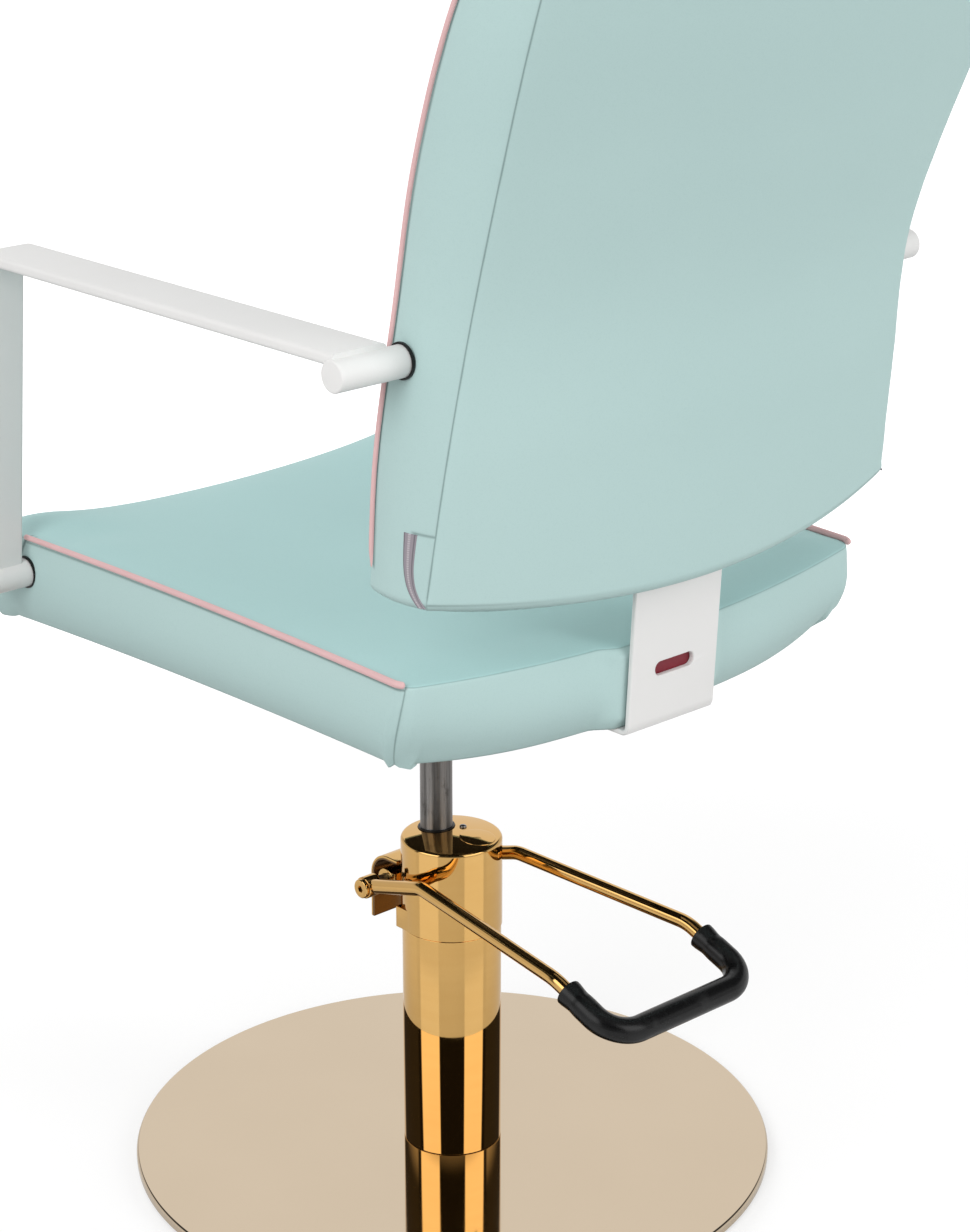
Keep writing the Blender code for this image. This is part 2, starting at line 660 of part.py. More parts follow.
def helix(radius, low, high, turns, points_per_turn=8):
    """Points of a coil about the plunger's axis."""
    share = np.linspace(0.0, 1.0, turns * points_per_turn + 1)
    turn = share * turns * 2.0 * math.pi
    height = low + share * (high - low)
    return np.stack([radius * np.cos(turn), PLUNGER_Y + radius * np.sin(turn), height], axis=1)


def plunger_spring():
    """Return spring between the floor of the plunger's bore and the plunger."""
    low = PLUNGER_BORE_FLOOR + SPRING_WIRE_RADIUS + FIT
    high = PLUNGER_BOTTOM - SPRING_WIRE_RADIUS - FIT
    coil = helix(SPRING_COIL_RADIUS, low, high, SPRING_TURNS)
    return settle(loft("plunger_spring", tube_rings(coil, SPRING_WIRE_RADIUS, WIRE_SIDES), BARE_STEEL))


def plunger():
    """Pump plunger, a plain pin under the cam's nose."""
    profile = [(PLUNGER_RADIUS, PLUNGER_BOTTOM), (PLUNGER_RADIUS, PLUNGER_TOP)]
    piece = turned("plunger", profile, BARE_STEEL, (0.0, PLUNGER_Y), segments=SMALL_SEGMENTS)
    return settle(piece, plunger_axis)


def lever_path():
    """Centre line of the U-shaped bar from the left eye round to the right eye."""
    left = [(LEVER_EYE_X, PIVOT_Y, PIVOT_Z), LEVER_KNEE, LEVER_DIP, LEVER_CORNER]
    right = [tuple(p) for p in mirrored(left)[::-1]]
    half_rounds = [LEVER_KNEE_ROUND, LEVER_DIP_ROUND, LEVER_CORNER_ROUND]
    return rounded_path(left + right, half_rounds + half_rounds[::-1])


EYE_INNER_X = HEAD_RADIUS + EYE_CLEARANCE
EYE_OUTER_X = EYE_INNER_X + EYE_LENGTH


def lever_bar():
    """U-shaped round bar with a bored eye at each end."""
    bar = loft("lever_bar", tube_rings(lever_path(), LEVER_BAR_RADIUS, BAR_SIDES), GOLD)
    for side in (-1.0, 1.0):
        ends = sorted((side * EYE_INNER_X, side * EYE_OUTER_X))
        add(bar, turned("eye", [(EYE_RADIUS, ends[0]), (EYE_RADIUS, ends[1])], GOLD,
                        (PIVOT_Y, PIVOT_Z), 'X', SMALL_SEGMENTS))
    reach = 2 * SHAFT_HALF_LENGTH
    cut(bar, bore_tool(SHAFT_RADIUS + FIT, -reach, reach, (PIVOT_Y, PIVOT_Z), 'X', SMALL_SEGMENTS))
    return settle(bar, lever_axis)


def lever_grip():
    """Rubber sleeve over the crossbar and both corners."""
    path = lever_path()
    covered = path[path[:, 1] > GRIP_START_Y]
    first = int(np.argmax(path[:, 1] > GRIP_START_Y))
    share = (GRIP_START_Y - path[first - 1, 1]) / (path[first, 1] - path[first - 1, 1])
    start = path[first - 1] + share * (path[first] - path[first - 1])
    route = np.concatenate([[start], covered, [start * (-1.0, 1.0, 1.0)]])
    outer = tube_rings(route, LEVER_BAR_RADIUS + GRIP_WALL, BAR_SIDES)
    inner = tube_rings(route, LEVER_BAR_RADIUS + FIT, BAR_SIDES)
    grip = loft("lever_grip", outer + inner[::-1], BLACK_RUBBER, closed=True)
    return settle(grip, lever_axis)


def pivot_shaft():
    """Plain shaft through the barrel, the cam and both eyes."""
    half = SHAFT_HALF_LENGTH
    piece = turned("pivot_shaft", [(SHAFT_RADIUS, -half), (SHAFT_RADIUS, half)], BARE_STEEL,
                   (PIVOT_Y, PIVOT_Z), 'X', SMALL_SEGMENTS)
    return settle(piece, lever_axis)


def lever_cam():
    """Hub on the shaft with a round nose that presses the plunger."""
    half = CAM_HALF_WIDTH
    cam = turned("lever_cam", [(CAM_RADIUS, -half), (CAM_RADIUS, half)], DARK_STEEL,
                 (PIVOT_Y, PIVOT_Z), 'X', SMALL_SEGMENTS)
    nose_half = PLUNGER_RADIUS
    nose = turned("nose", [(NOSE_RADIUS, -nose_half), (NOSE_RADIUS, nose_half)], DARK_STEEL,
                  (PLUNGER_Y, PIVOT_Z - NOSE_DROP), 'X', SMALL_SEGMENTS)
    add(cam, nose)
    cut(cam, bore_tool(SHAFT_RADIUS + FIT, -2 * half, 2 * half, (PIVOT_Y, PIVOT_Z), 'X', SMALL_SEGMENTS))
    return settle(cam, lever_axis)


def lever_bolt(name, side):
    """Socket-head bolt that closes an eye and holds the shaft."""
    start = SHAFT_HALF_LENGTH + FIT
    seat = EYE_OUTER_X + FIT
    end = seat + BOLT_HEAD_HEIGHT
    profile = [(BOLT_SHANK_RADIUS, side * start), (BOLT_SHANK_RADIUS, side * seat),
               (BOLT_HEAD_RADIUS, side * seat), (BOLT_HEAD_RADIUS, side * end)]
    bolt = turned(name, profile, GOLD, (PIVOT_Y, PIVOT_Z), 'X', SMALL_SEGMENTS)
    floor = side * (end - BOLT_SOCKET_DEPTH)
    reach = side * (end + BOLT_SOCKET_DEPTH)
    cut(bolt, turned("socket", [(BOLT_SOCKET_RADIUS, floor), (BOLT_SOCKET_RADIUS, reach)], GOLD,
                     (PIVOT_Y, PIVOT_Z), 'X', 6))
    return settle(bolt, lever_axis)


def ram_piston():
    """Piston under the rod, with a groove for its seal."""
    low = PISTON_TOP - PISTON_HEIGHT
    groove_low = low + (PISTON_HEIGHT - SEAL_GROOVE_HEIGHT) / 2.0
    groove_high = groove_low + SEAL_GROOVE_HEIGHT
    core = PISTON_RADIUS - SEAL_GROOVE_DEPTH
    profile = [(PISTON_RADIUS, low), (PISTON_RADIUS, groove_low), (core, groove_low),
               (core, groove_high), (PISTON_RADIUS, groove_high), (PISTON_RADIUS, PISTON_TOP)]
    return settle(turned("ram_piston", profile, BARE_STEEL, (0.0, ROD_OFFSET)), lift_axis)


def piston_seal():
    """Seal ring in the piston's groove."""
    middle = PISTON_TOP - PISTON_HEIGHT / 2.0
    half = SEAL_GROOVE_HEIGHT / 2.0 - FIT
    inner = PISTON_RADIUS - SEAL_GROOVE_DEPTH + FIT
    profile = [(inner, middle - half), (PISTON_RADIUS, middle - half),
               (PISTON_RADIUS, middle + half), (inner, middle + half)]
    return settle(turned("piston_seal", profile, BLACK_RUBBER, (0.0, ROD_OFFSET), bored=True), lift_axis)


PLATE_TOP = SEAT_UNDERSIDE - FIT
PLATE_BOTTOM = PLATE_TOP - PLATE_THICKNESS
SOCKET_BOTTOM = PLATE_BOTTOM - SOCKET_LENGTH


def piston_rod():
    """Bare rod from the piston up into the seat plate's socket."""
    profile = [(ROD_RADIUS, PISTON_TOP + FIT), (ROD_RADIUS, PLATE_BOTTOM - FIT)]
    return settle(turned("piston_rod", profile, BARE_STEEL, (0.0, ROD_OFFSET)), swivel_axis)


def rounded_rectangle(half_width, front, rear, front_corner, rear_corner, side_steps, end_steps):
    """Plan outline with round corners, and a fixed number of points on each straight run."""
    corners = [(1, rear, rear_corner, 0.0), (-1, rear, rear_corner, 0.5),
               (-1, front, front_corner, 1.0), (1, front, front_corner, 1.5)]
    arcs = []
    for sign, end, radius, start in corners:
        centre_y = end - radius if end == rear else end + radius
        turn = (start + np.linspace(0.0, 0.5, 5)) * math.pi
        arcs.append(np.stack([sign * (half_width - radius) + radius * np.cos(turn),
                              centre_y + radius * np.sin(turn)], axis=1))
    outline = []
    for k, arc in enumerate(arcs):
        steps = end_steps if k % 2 == 0 else side_steps
        follower = arcs[(k + 1) % 4][0]
        run = np.linspace(0.0, 1.0, steps + 1)[1:-1, None]
        outline += [arc, arc[-1] + run * (follower - arc[-1])]
    return np.concatenate(outline)


def plate_bolt_places():
    """Places of the four bolts through the seat plate."""
    across = PLATE_HALF_WIDTH - PLATE_BOLT_INSET
    along = PLATE_HALF_DEPTH - PLATE_BOLT_INSET
    return [(sx * across, ROD_OFFSET + sy * along) for sx in (-1, 1) for sy in (-1, 1)]


def flange_bolt_places():
    """Places of the two bolts through the bracket's flange."""
    return [(side * FLANGE_BOLT_SPACING / 2.0, FLANGE_BOLT_Y) for side in (-1, 1)]


def drill(piece, places, thickness):
    """Clearance holes for the screws through a plate at the seat's underside."""
    for place in places:
        cut(piece, bore_tool(SCREW_SHANK_RADIUS + FIT, PLATE_TOP - 2.0 * thickness, PLATE_TOP + thickness,
                             place, segments=SCREW_SEGMENTS))


def seat_plate():
    """Flat plate with a conical socket below it for the top of the rod."""
    front = ROD_OFFSET - PLATE_HALF_DEPTH
    rear = ROD_OFFSET + PLATE_HALF_DEPTH
    outline = rounded_rectangle(PLATE_HALF_WIDTH, front, rear, PLATE_CORNER, PLATE_CORNER, 2, 2)
    plate = prism_z("seat_plate", outline, PLATE_BOTTOM, PLATE_TOP, DARK_STEEL)
    overlap = PLATE_THICKNESS / 2.0
    profile = [(SOCKET_BOTTOM_RADIUS, SOCKET_BOTTOM), (SOCKET_TOP_RADIUS, PLATE_BOTTOM),
               (SOCKET_TOP_RADIUS, PLATE_BOTTOM + overlap)]
    add(plate, turned("socket", profile, DARK_STEEL, (0.0, ROD_OFFSET)))
    cut(plate, bore_tool(ROD_RADIUS + FIT, SOCKET_BOTTOM - SOCKET_LENGTH, PLATE_BOTTOM, (0.0, ROD_OFFSET)))
    drill(plate, plate_bolt_places(), PLATE_THICKNESS)
    return settle(plate, swivel_axis)


def underside_screw(name, place, thickness):
    """Screw with a domed head below a plate of some thickness at the seat's underside."""
    seat = PLATE_TOP - thickness - FIT
    profile = [(SCREW_HEAD_RADIUS * 0.5, seat - SCREW_HEAD_HEIGHT),
               (SCREW_HEAD_RADIUS, seat - SCREW_HEAD_HEIGHT * 0.5),
               (SCREW_HEAD_RADIUS, seat), (SCREW_SHANK_RADIUS, seat), (SCREW_SHANK_RADIUS, PLATE_TOP)]
    return settle(turned(name, profile, DARK_STEEL, place, segments=SCREW_SEGMENTS), swivel_axis)


def forward_share(y):
    """How far a place lies from the seat's middle towards its front, from 0 to 1."""
    return np.clip((SEAT_MIDDLE - y) / (SEAT_MIDDLE - SEAT_FRONT), 0.0, 1.0)


def seat_plan(inset, undercut=0.0):
    """Seat outline drawn in by inset: straight sides, round corners, bowed rear.

    The undercut draws the rear corners further forward, as at the seat's lower edge.
    """
    smallest = SEAT_REAR_CORNER / 3.0
    outline = rounded_rectangle(SEAT_HALF_WIDTH - inset, SEAT_FRONT + inset, SEAT_REAR - inset,
                                max(SEAT_FRONT_CORNER - inset, smallest),
                                max(SEAT_REAR_CORNER - inset, smallest), 12, 12)
    x, y = outline[:, 0], outline[:, 1]
    across = (x / SEAT_HALF_WIDTH) ** 2
    rearward = np.clip((y - SEAT_MIDDLE) / (SEAT_REAR - SEAT_MIDDLE), 0.0, 1.0)
    return np.stack([x, y - (SEAT_REAR_BOW + undercut) * across * rearward ** 2], axis=1)


def front_roll(y):
    """How far the seat has rolled over its front edge, from 0 to 1."""
    return np.clip((FRONT_ROLL_START - y) / (FRONT_ROLL_START - SEAT_FRONT), 0.0, 1.0) ** 2


def seat_top(x, y):
    """Height of the seat's top: dished across its width, more so towards the rolled front."""
    drop = FRONT_ROLL_TOP_SHARE * FRONT_ROLL_DROP * front_roll(y)
    dish = SEAT_DISH * (1.0 + FRONT_SCOOP * forward_share(y) ** 2)
    return SEAT_TOP + dish * (x / SEAT_HALF_WIDTH) ** 2 - drop


def seat_seam(x, y):
    """Height of the seam round the seat's top: higher at the sides, crowned along them."""
    across = (x / SEAT_HALF_WIDTH) ** 2
    along = np.clip((y - SEAT_MIDDLE) / (SEAT_REAR - SEAT_MIDDLE), -1.0, 1.0) ** 2
    return SEAM_HEIGHT + across * (SEAM_RISE + SEAM_CROWN * (1.0 - along)) - FRONT_ROLL_DROP * front_roll(y)


def seat_underside(x, y):
    """Height of the seat's underside: flat in the middle, curving up to the sides, hanging in front."""
    side = np.clip((np.abs(x) / SEAT_HALF_WIDTH - UNDERSIDE_FLAT) / (1.0 - UNDERSIDE_FLAT), 0.0, None) ** 2
    along = 1.0 - ((y - UNDERSIDE_PEAK_Y) / UNDERSIDE_REACH) ** 2
    front = np.clip((UNDERSIDE_FRONT_START - y) / UNDERSIDE_FRONT_LENGTH, 0.0, 1.0)
    level = front ** 2 * (3.0 - 2.0 * front)
    rise = side * (UNDERSIDE_RISE + UNDERSIDE_SIDE_RISE * along)
    return SEAT_UNDERSIDE + rise * (1.0 - level) - FRONT_HANG * level


def scaled_plan(plan, share):
    """The outline shrunk towards the seat's middle."""
    middle = np.array([0.0, SEAT_MIDDLE])
    return middle + share * (plan - middle)


def ring_at(plan, height):
    """Plan points lifted to their heights."""
    return np.column_stack([plan, height])


BOARD_SHARES = (1.0, 0.93, 0.85, 0.75, 0.45)


def seat_board():
    """Bent plywood in the seat's underside, following its curve."""
    plan = seat_plan(BOARD_MARGIN, REAR_UNDERCUT)
    rings = []
    for lift, shares in ((0.0, BOARD_SHARES[::-1]), (BOARD_THICKNESS, BOARD_SHARES)):
        for share in shares:
            place = scaled_plan(plan, share)
            rings.append(ring_at(place, seat_underside(place[:, 0], place[:, 1]) + lift))
    return settle(loft("seat_board", rings, PLYWOOD), swivel_axis)


def seat_block_box(side, grow=0.0):
    """Corners of a wooden block on the board, behind an arm's front rod."""
    xs = np.array([SEAT_BLOCK_OUTER_X - SEAT_BLOCK_WIDTH, SEAT_BLOCK_OUTER_X])
    ys = FRONT_ROD_Y + np.array([-0.5, 0.5]) * SEAT_BLOCK_LENGTH
    corner_x, corner_y = np.meshgrid(xs, ys)
    floor = float(seat_underside(corner_x, corner_y).max()) + BOARD_THICKNESS + BLOCK_GAP
    low = (min(side * xs) - grow, ys[0] - grow, floor - grow)
    high = (max(side * xs) + grow, ys[1] + grow, FRONT_ROD_Z + SEAT_BLOCK_RISE + grow)
    return low, high


def arm_rod(name, side, inner_x, outer_x, place, radius, surface):
    """A round bar across the chair between two distances from its middle."""
    ends = sorted((side * inner_x, side * outer_x))
    return turned(name, [(radius, ends[0]), (radius, ends[1])], surface, place, 'X', SMALL_SEGMENTS)


def seat_cushion():
    """Padded seat: dished top, seam, bulging sides drawn in below, recess for the board."""
    edge = seat_plan(0.0)
    seam = seat_seam(edge[:, 0], edge[:, 1])
    fall = seat_top(edge[:, 0], edge[:, 1]) - seam
    rings = []
    for share in (0.3, 0.6, 0.8, 0.9, 0.96, 1.0):
        place = scaled_plan(edge, share)
        rings.append(ring_at(place, seat_top(place[:, 0], place[:, 1]) - fall * share ** SEAM_FALL_POWER))
    low_edge = seat_plan(BOTTOM_DRAW_IN, REAR_UNDERCUT)
    low = seat_underside(low_edge[:, 0], low_edge[:, 1])
    rings.append(ring_at(seat_plan(-SIDE_BULGE, 0.45 * REAR_UNDERCUT), 0.45 * low + 0.55 * seam))
    rings.append(ring_at(low_edge, low))
    pocket = seat_plan(BOARD_MARGIN - FIT, REAR_UNDERCUT)
    rings.append(ring_at(pocket, seat_underside(pocket[:, 0], pocket[:, 1])))
    for share in BOARD_SHARES:
        place = scaled_plan(pocket, share)
        under = seat_underside(place[:, 0], place[:, 1])
        rings.append(ring_at(place, under + BOARD_THICKNESS + BOARD_TOP_GAP))
    cushion = loft("seat_cushion", rings, MINT_HIDE)
    for side in (-1.0, 1.0):
        low_corner, high_corner = seat_block_box(side, FIT)
        down = (low_corner[0], low_corner[1], low_corner[2] - BOARD_THICKNESS / 2.0)
        cut(cushion, block("cavity", down, high_corner, PLYWOOD))
        cut(cushion, arm_rod("hole", side, SEAT_BLOCK_OUTER_X - FIT, ARM_OUTER_X,
                             (FRONT_ROD_Y, FRONT_ROD_Z), ARM_ROD_RADIUS + FIT, MINT_HIDE))
    return settle(cushion, swivel_axis)


def seat_arm_block(name, side):
    """Wooden block that an arm's front rod is screwed to."""
    low, high = seat_block_box(side)
    return settle(block(name, low, high, PLYWOOD), swivel_axis)


def seat_piping(name, side):
    """Piping along a side edge of the seat's top, just outside the seam."""
    y = np.linspace(SEAT_PIPING_FRONT, SEAT_PIPING_REAR, 15)
    offset = (PIPING_RADIUS + PIPING_GAP) / math.sqrt(2.0)
    x = np.full_like(y, SEAT_HALF_WIDTH)
    path = np.stack([side * (x + offset), y, seat_seam(x, y) + offset], axis=1)
    return settle(loft(name, tube_rings(path, PIPING_RADIUS, PIPING_SIDES), PINK_CORD), swivel_axis)


def back_front(x, height):
    """Front face of the back: hollowed across, with a little crown in the padding."""
    across = (x / through(BACK_HEIGHTS, BACK_HALF_WIDTH, height)) ** 2
    edge = through(BACK_HEIGHTS, BACK_FRONT_EDGE, height)
    return edge + BACK_FRONT_BOW * (1.0 - across) - BACK_FRONT_CROWN * (1.0 - across ** 2)


def back_rear(x, height):
    """Rear face of the back, bowed out from seam to seam."""
    across = (x / through(BACK_HEIGHTS, BACK_HALF_WIDTH, height)) ** 2
    return through(BACK_HEIGHTS, BACK_REAR_SEAM, height) + BACK_REAR_BOW * (1.0 - across)


def gusset_x(y, height):
    """Half width of the back at a point of its side gusset."""
    front = through(BACK_HEIGHTS, BACK_FRONT_EDGE, height)
    rear = through(BACK_HEIGHTS, BACK_REAR_SEAM, height)
    share = np.clip((y - front) / (rear - front), 0.0, 1.0)
    return through(BACK_HEIGHTS, BACK_HALF_WIDTH, height) + BACK_GUSSET_BULGE * np.sin(math.pi * share)


FACE_POINTS = 15
GUSSET_POINTS = 5


def sagged(x, height):
    """Heights near the back's lower edge hang lower towards the middle."""
    across = (x / through(BACK_HEIGHTS, BACK_HALF_WIDTH, height)) ** 2
    fade = np.clip((BACK_BOTTOM + BACK_SAG_FADE - height) / BACK_SAG_FADE, 0.0, 1.0) ** 1.5
    return height - BACK_BOTTOM_SAG * (1.0 - across) * fade


def back_loop(height, draw_in):
    """Level outline of the back: front face, gusset, rear face, gusset."""
    half = float(through(BACK_HEIGHTS, BACK_HALF_WIDTH, height)) - draw_in
    across = np.linspace(half, -half, FACE_POINTS)
    front = back_front(across, height) + draw_in
    rear = back_rear(across, height) - draw_in
    share = np.linspace(0.0, 1.0, GUSSET_POINTS + 2)[1:-1]
    side_y = front[-1] + share * (rear[-1] - front[-1])
    side_x = half + BACK_GUSSET_BULGE * np.sin(math.pi * share)
    x = np.concatenate([across, -side_x, across[::-1], side_x[::-1]])
    y = np.concatenate([front, side_y, rear[::-1], side_y[::-1]])
    return np.stack([x, y, sagged(x, np.full_like(x, height))], axis=1)


def ladder_loft(name, loops, surface, face_points, gusset_points):
    """Skin over loops, with each end closed by rungs between its front and its rear points."""
    count = len(loops[0])
    points = np.concatenate(loops)
    faces = strip_faces(count, len(loops), False)
    rear_start = face_points + gusset_points
    for start in (0, (len(loops) - 1) * count):
        for i in range(face_points - 1):
            back = start + rear_start + face_points - 1 - i
            faces.append((start + i, start + i + 1, back - 1, back))
        if gusset_points:
            first = [start + face_points - 1 + k for k in range(gusset_points + 2)]
            last = [start + rear_start + face_points - 1 + k for k in range(gusset_points + 1)]
            faces += [tuple(first), tuple(last + [start])]
    return solid(name, points, faces, surface)


def back_board_piece(name, grow, run_out):
    """Bent plywood between the back's faces, or the larger body that leaves room for it.

    The larger body runs out below by run_out.
    """
    heights = np.linspace(BACK_BOARD_BOTTOM, BACK_BOARD_TOP, 9)
    heights[-1] += grow
    if run_out:
        heights = np.concatenate([[BACK_BOARD_BOTTOM - run_out], heights])
    loops = []
    for height in heights:
        half = float(through(BACK_HEIGHTS, BACK_HALF_WIDTH, height)) - BACK_BOARD_MARGIN + grow
        across = np.linspace(half, -half, 11)
        middle = (back_front(across, height) + back_rear(across, height)) / 2.0
        thick = BACK_BOARD_THICKNESS / 2.0 + grow
        front = np.stack([across, middle - thick, np.full_like(across, height)], axis=1)
        rear = np.stack([across, middle + thick, np.full_like(across, height)], axis=1)
        loops.append(np.concatenate([front, rear[::-1]]))
    return ladder_loft(name, loops, PLYWOOD, 11, 0)


def back_board():
    """Bent plywood core of the back."""
    return settle(back_board_piece("back_board", 0.0, 0.0), swivel_axis)


def back_block_box(side, grow=0.0):
    """Corners of a wooden block before the board, behind an arm's rear rod."""
    inner = BACK_BLOCK_OUTER_X - BACK_BLOCK_WIDTH
    heights = REAR_ROD_Z + np.array([-0.5, 0.5]) * BACK_BLOCK_HEIGHT
    corner_x, corner_z = np.meshgrid((inner, BACK_BLOCK_OUTER_X), heights)
    middle = (back_front(corner_x, corner_z) + back_rear(corner_x, corner_z)) / 2.0
    rear = float(middle.min()) - BACK_BOARD_THICKNESS / 2.0 - BLOCK_GAP
    xs = sorted((side * inner, side * BACK_BLOCK_OUTER_X))
    low = (xs[0] - grow, BACK_BLOCK_FRONT_Y - grow, heights[0] - grow)
    high = (xs[1] + grow, rear + grow, heights[1] + grow)
    return low, high


def back_arm_block(name, side):
    """Wooden block on the board that an arm's rear rod is screwed to."""
    low, high = back_block_box(side)
    return settle(block(name, low, high, PLYWOOD), swivel_axis)


def bracket_inner_y(height):
    """Front face of the leaning bracket plate at a height."""
    return BRACKET_FACE_Y - BRACKET_THICKNESS + (height - SEAT_UNDERSIDE) * math.tan(BRACKET_LEAN)


def bracket_piece(name, grow):
    """Flange under the seat, bend and leaning plate, or the larger body that leaves room for it."""
    half = BRACKET_THICKNESS / 2.0
    flange_z = PLATE_TOP - half
    corner = (bracket_inner_y(flange_z) + half, flange_z)
    top = (bracket_inner_y(BRACKET_TOP + grow) + half, BRACKET_TOP + grow)
    path = rounded_path([(FLANGE_FRONT, flange_z), corner, top], [BRACKET_BEND_ROUND])
    outline = strip_outline(path, BRACKET_THICKNESS + 2.0 * grow)
    width = BRACKET_HALF_WIDTH + grow
    return prism_x(name, outline, -width, width, WHITE_PAINT)


def back_cushion():
    """Padded back with round top and bottom edges, hollow for its board, blocks, rods and bracket."""
    loops = []
    turn = np.linspace(0.0, math.pi / 2.0, 4)
    for a in turn[::-1]:
        rise = BACK_BOTTOM_ROUND * (1.0 - math.sin(a))
        loops.append((BACK_BOTTOM + rise, BACK_BOTTOM_ROUND * (1.0 - math.cos(a))))
    body_top = BACK_TOP - BACK_TOP_ROUND
    loops += [(h, 0.0) for h in np.linspace(BACK_BOTTOM + BACK_BOTTOM_ROUND, body_top, 11)[1:-1]]
    for a in np.linspace(0.0, math.pi / 2.0 * 0.97, 6):
        loops.append((body_top + BACK_TOP_ROUND * math.sin(a), BACK_TOP_ROUND * (1.0 - math.cos(a))))
    rings = [back_loop(h, d) for h, d in loops]
    cushion = ladder_loft("back_cushion", rings, MINT_HIDE, FACE_POINTS, GUSSET_POINTS)
    cut(cushion, back_board_piece("cavity", FIT, BACK_BOTTOM_SAG))
    cut(cushion, bracket_piece("tongue_slot", FIT))
    for side in (-1.0, 1.0):
        low, high = back_block_box(side, FIT)
        deep = (high[0], high[1] + BACK_BOARD_THICKNESS / 2.0, high[2])
        cut(cushion, block("cavity", low, deep, PLYWOOD))
        cut(cushion, arm_rod("hole", side, BACK_BLOCK_OUTER_X - FIT, ARM_OUTER_X,
                             (REAR_ROD_Y, REAR_ROD_Z), ARM_ROD_RADIUS + FIT, MINT_HIDE))
    return settle(cushion, swivel_axis)


def back_piping(name, side):
    """Piping along a front edge of the back, just outside the seam."""
    height = np.linspace(BACK_PIPING_BOTTOM, BACK_PIPING_TOP, 21)
    offset = (PIPING_RADIUS + PIPING_GAP) / math.sqrt(2.0)
    x = through(BACK_HEIGHTS, BACK_HALF_WIDTH, height) + offset
    y = through(BACK_HEIGHTS, BACK_FRONT_EDGE, height) - offset
    path = np.stack([side * x, y, height], axis=1)
    return settle(loft(name, tube_rings(path, PIPING_RADIUS, PIPING_SIDES), PINK_CORD), swivel_axis)


def back_zip(name, side):
    """Zip low on a side gusset, sweeping back towards the rear seam as it goes down."""
    rings = []
    for share in np.linspace(0.0, 1.0, 7):
        height = ZIP_TOP + share * (ZIP_BOTTOM - ZIP_TOP)
        middle = ZIP_TOP_Y + ZIP_SWEEP * share ** 4
        ys = np.array([middle - ZIP_WIDTH / 2.0, middle + ZIP_WIDTH / 2.0])
        near = gusset_x(ys, np.full(2, height)) + FIT
        hump = float(gusset_x(np.array([middle]), np.array([height]))[0]) - float(near.mean()) + 2 * FIT
        inner = near + max(hump, 0.0)
        outer = inner + ZIP_THICKNESS
        ring = [(inner[0], ys[0]), (inner[1], ys[1]), (outer[1], ys[1]), (outer[0], ys[0])]
        rings.append(np.array([(side * x, y, height) for x, y in ring]))
    return settle(loft(name, rings, GREY_ZIP), swivel_axis)


def back_bracket():
    """White bent plate that carries the back, with one round-ended slot."""
    bracket = bracket_piece("back_bracket", 0.0)
    reach = 4.0 * BRACKET_THICKNESS
    half = (SLOT_LENGTH - SLOT_WIDTH) / 2.0
    turn = np.linspace(-math.pi / 2.0, math.pi / 2.0, 9)
    right = np.stack([half + SLOT_WIDTH / 2.0 * np.cos(turn), SLOT_WIDTH / 2.0 * np.sin(turn)], axis=1)
    outline = np.concatenate([right, -right])
    near = [(x, BRACKET_FACE_Y - reach, SLOT_HEIGHT + z) for x, z in outline]
    far = [(x, BRACKET_FACE_Y + reach, SLOT_HEIGHT + z) for x, z in outline]
    cut(bracket, loft("slot", [near, far], WHITE_PAINT))
    drill(bracket, flange_bolt_places(), BRACKET_THICKNESS)
    return settle(bracket, swivel_axis)


def bracket_backing():
    """Dark red plate behind the bracket's slot."""
    heights = (BACKING_BOTTOM, BACKING_TOP)
    gap = FIT / math.cos(BRACKET_LEAN)
    near = [(bracket_inner_y(h) - gap, h) for h in heights]
    far = [(y - BACKING_THICKNESS, h) for y, h in near]
    outline = near + far[::-1]
    piece = prism_x("bracket_backing", outline, -BACKING_HALF_WIDTH, BACKING_HALF_WIDTH, RED_PAINT)
    return settle(piece, swivel_axis)


def armrest(name, side):
    """Flat bar bent down into a leaning post, with a round rod welded across each end."""
    middle_z = ARM_TOP - ARM_THICKNESS / 2.0
    corner_y = FRONT_ROD_Y + POST_LEAN * (middle_z - FRONT_ROD_Z)
    corners = [(REAR_ROD_Y, middle_z), (corner_y, middle_z), (FRONT_ROD_Y, FRONT_ROD_Z)]
    path = rounded_path(corners, [ARM_BEND_ROUND])
    ends = sorted((side * ARM_INNER_X, side * ARM_OUTER_X))
    arm = prism_x(name, strip_outline(path, ARM_THICKNESS), ends[0], ends[1], WHITE_PAINT)
    outer = ARM_OUTER_X + ARM_ROD_PROUD
    add(arm, arm_rod("rear_rod", side, BACK_BLOCK_OUTER_X + FIT, outer,
                     (REAR_ROD_Y, REAR_ROD_Z), ARM_ROD_RADIUS, WHITE_PAINT))
    add(arm, arm_rod("front_rod", side, SEAT_BLOCK_OUTER_X + FIT, outer,
                     (FRONT_ROD_Y, FRONT_ROD_Z), ARM_ROD_RADIUS, WHITE_PAINT))
    return settle(arm, swivel_axis)


def arm_ring(name, side, face_x, place):
    """Black ring round a rod where it enters the upholstery."""
    inner = ARM_ROD_RADIUS + FIT
    outer = inner + ARM_RING_WALL
    low = face_x + ARM_RING_GAP
    high = low + ARM_RING_WIDTH
    profile = [(inner, side * low), (outer, side * low), (outer, side * high), (inner, side * high)]
    ring = turned(name, profile, BLACK_RUBBER, place, 'X', SMALL_SEGMENTS, bored=True)
    return settle(ring, swivel_axis)


def arm_ring_faces():
    """How far out the upholstery stands at the rods, at its widest under each ring."""
    reach = ARM_ROD_RADIUS + ARM_RING_WALL
    spread = np.linspace(-reach, reach, 9)
    back = gusset_x(REAR_ROD_Y + spread[:, None], REAR_ROD_Z + spread[None, :]).max()
    return SEAT_HALF_WIDTH + SIDE_BULGE, float(back)


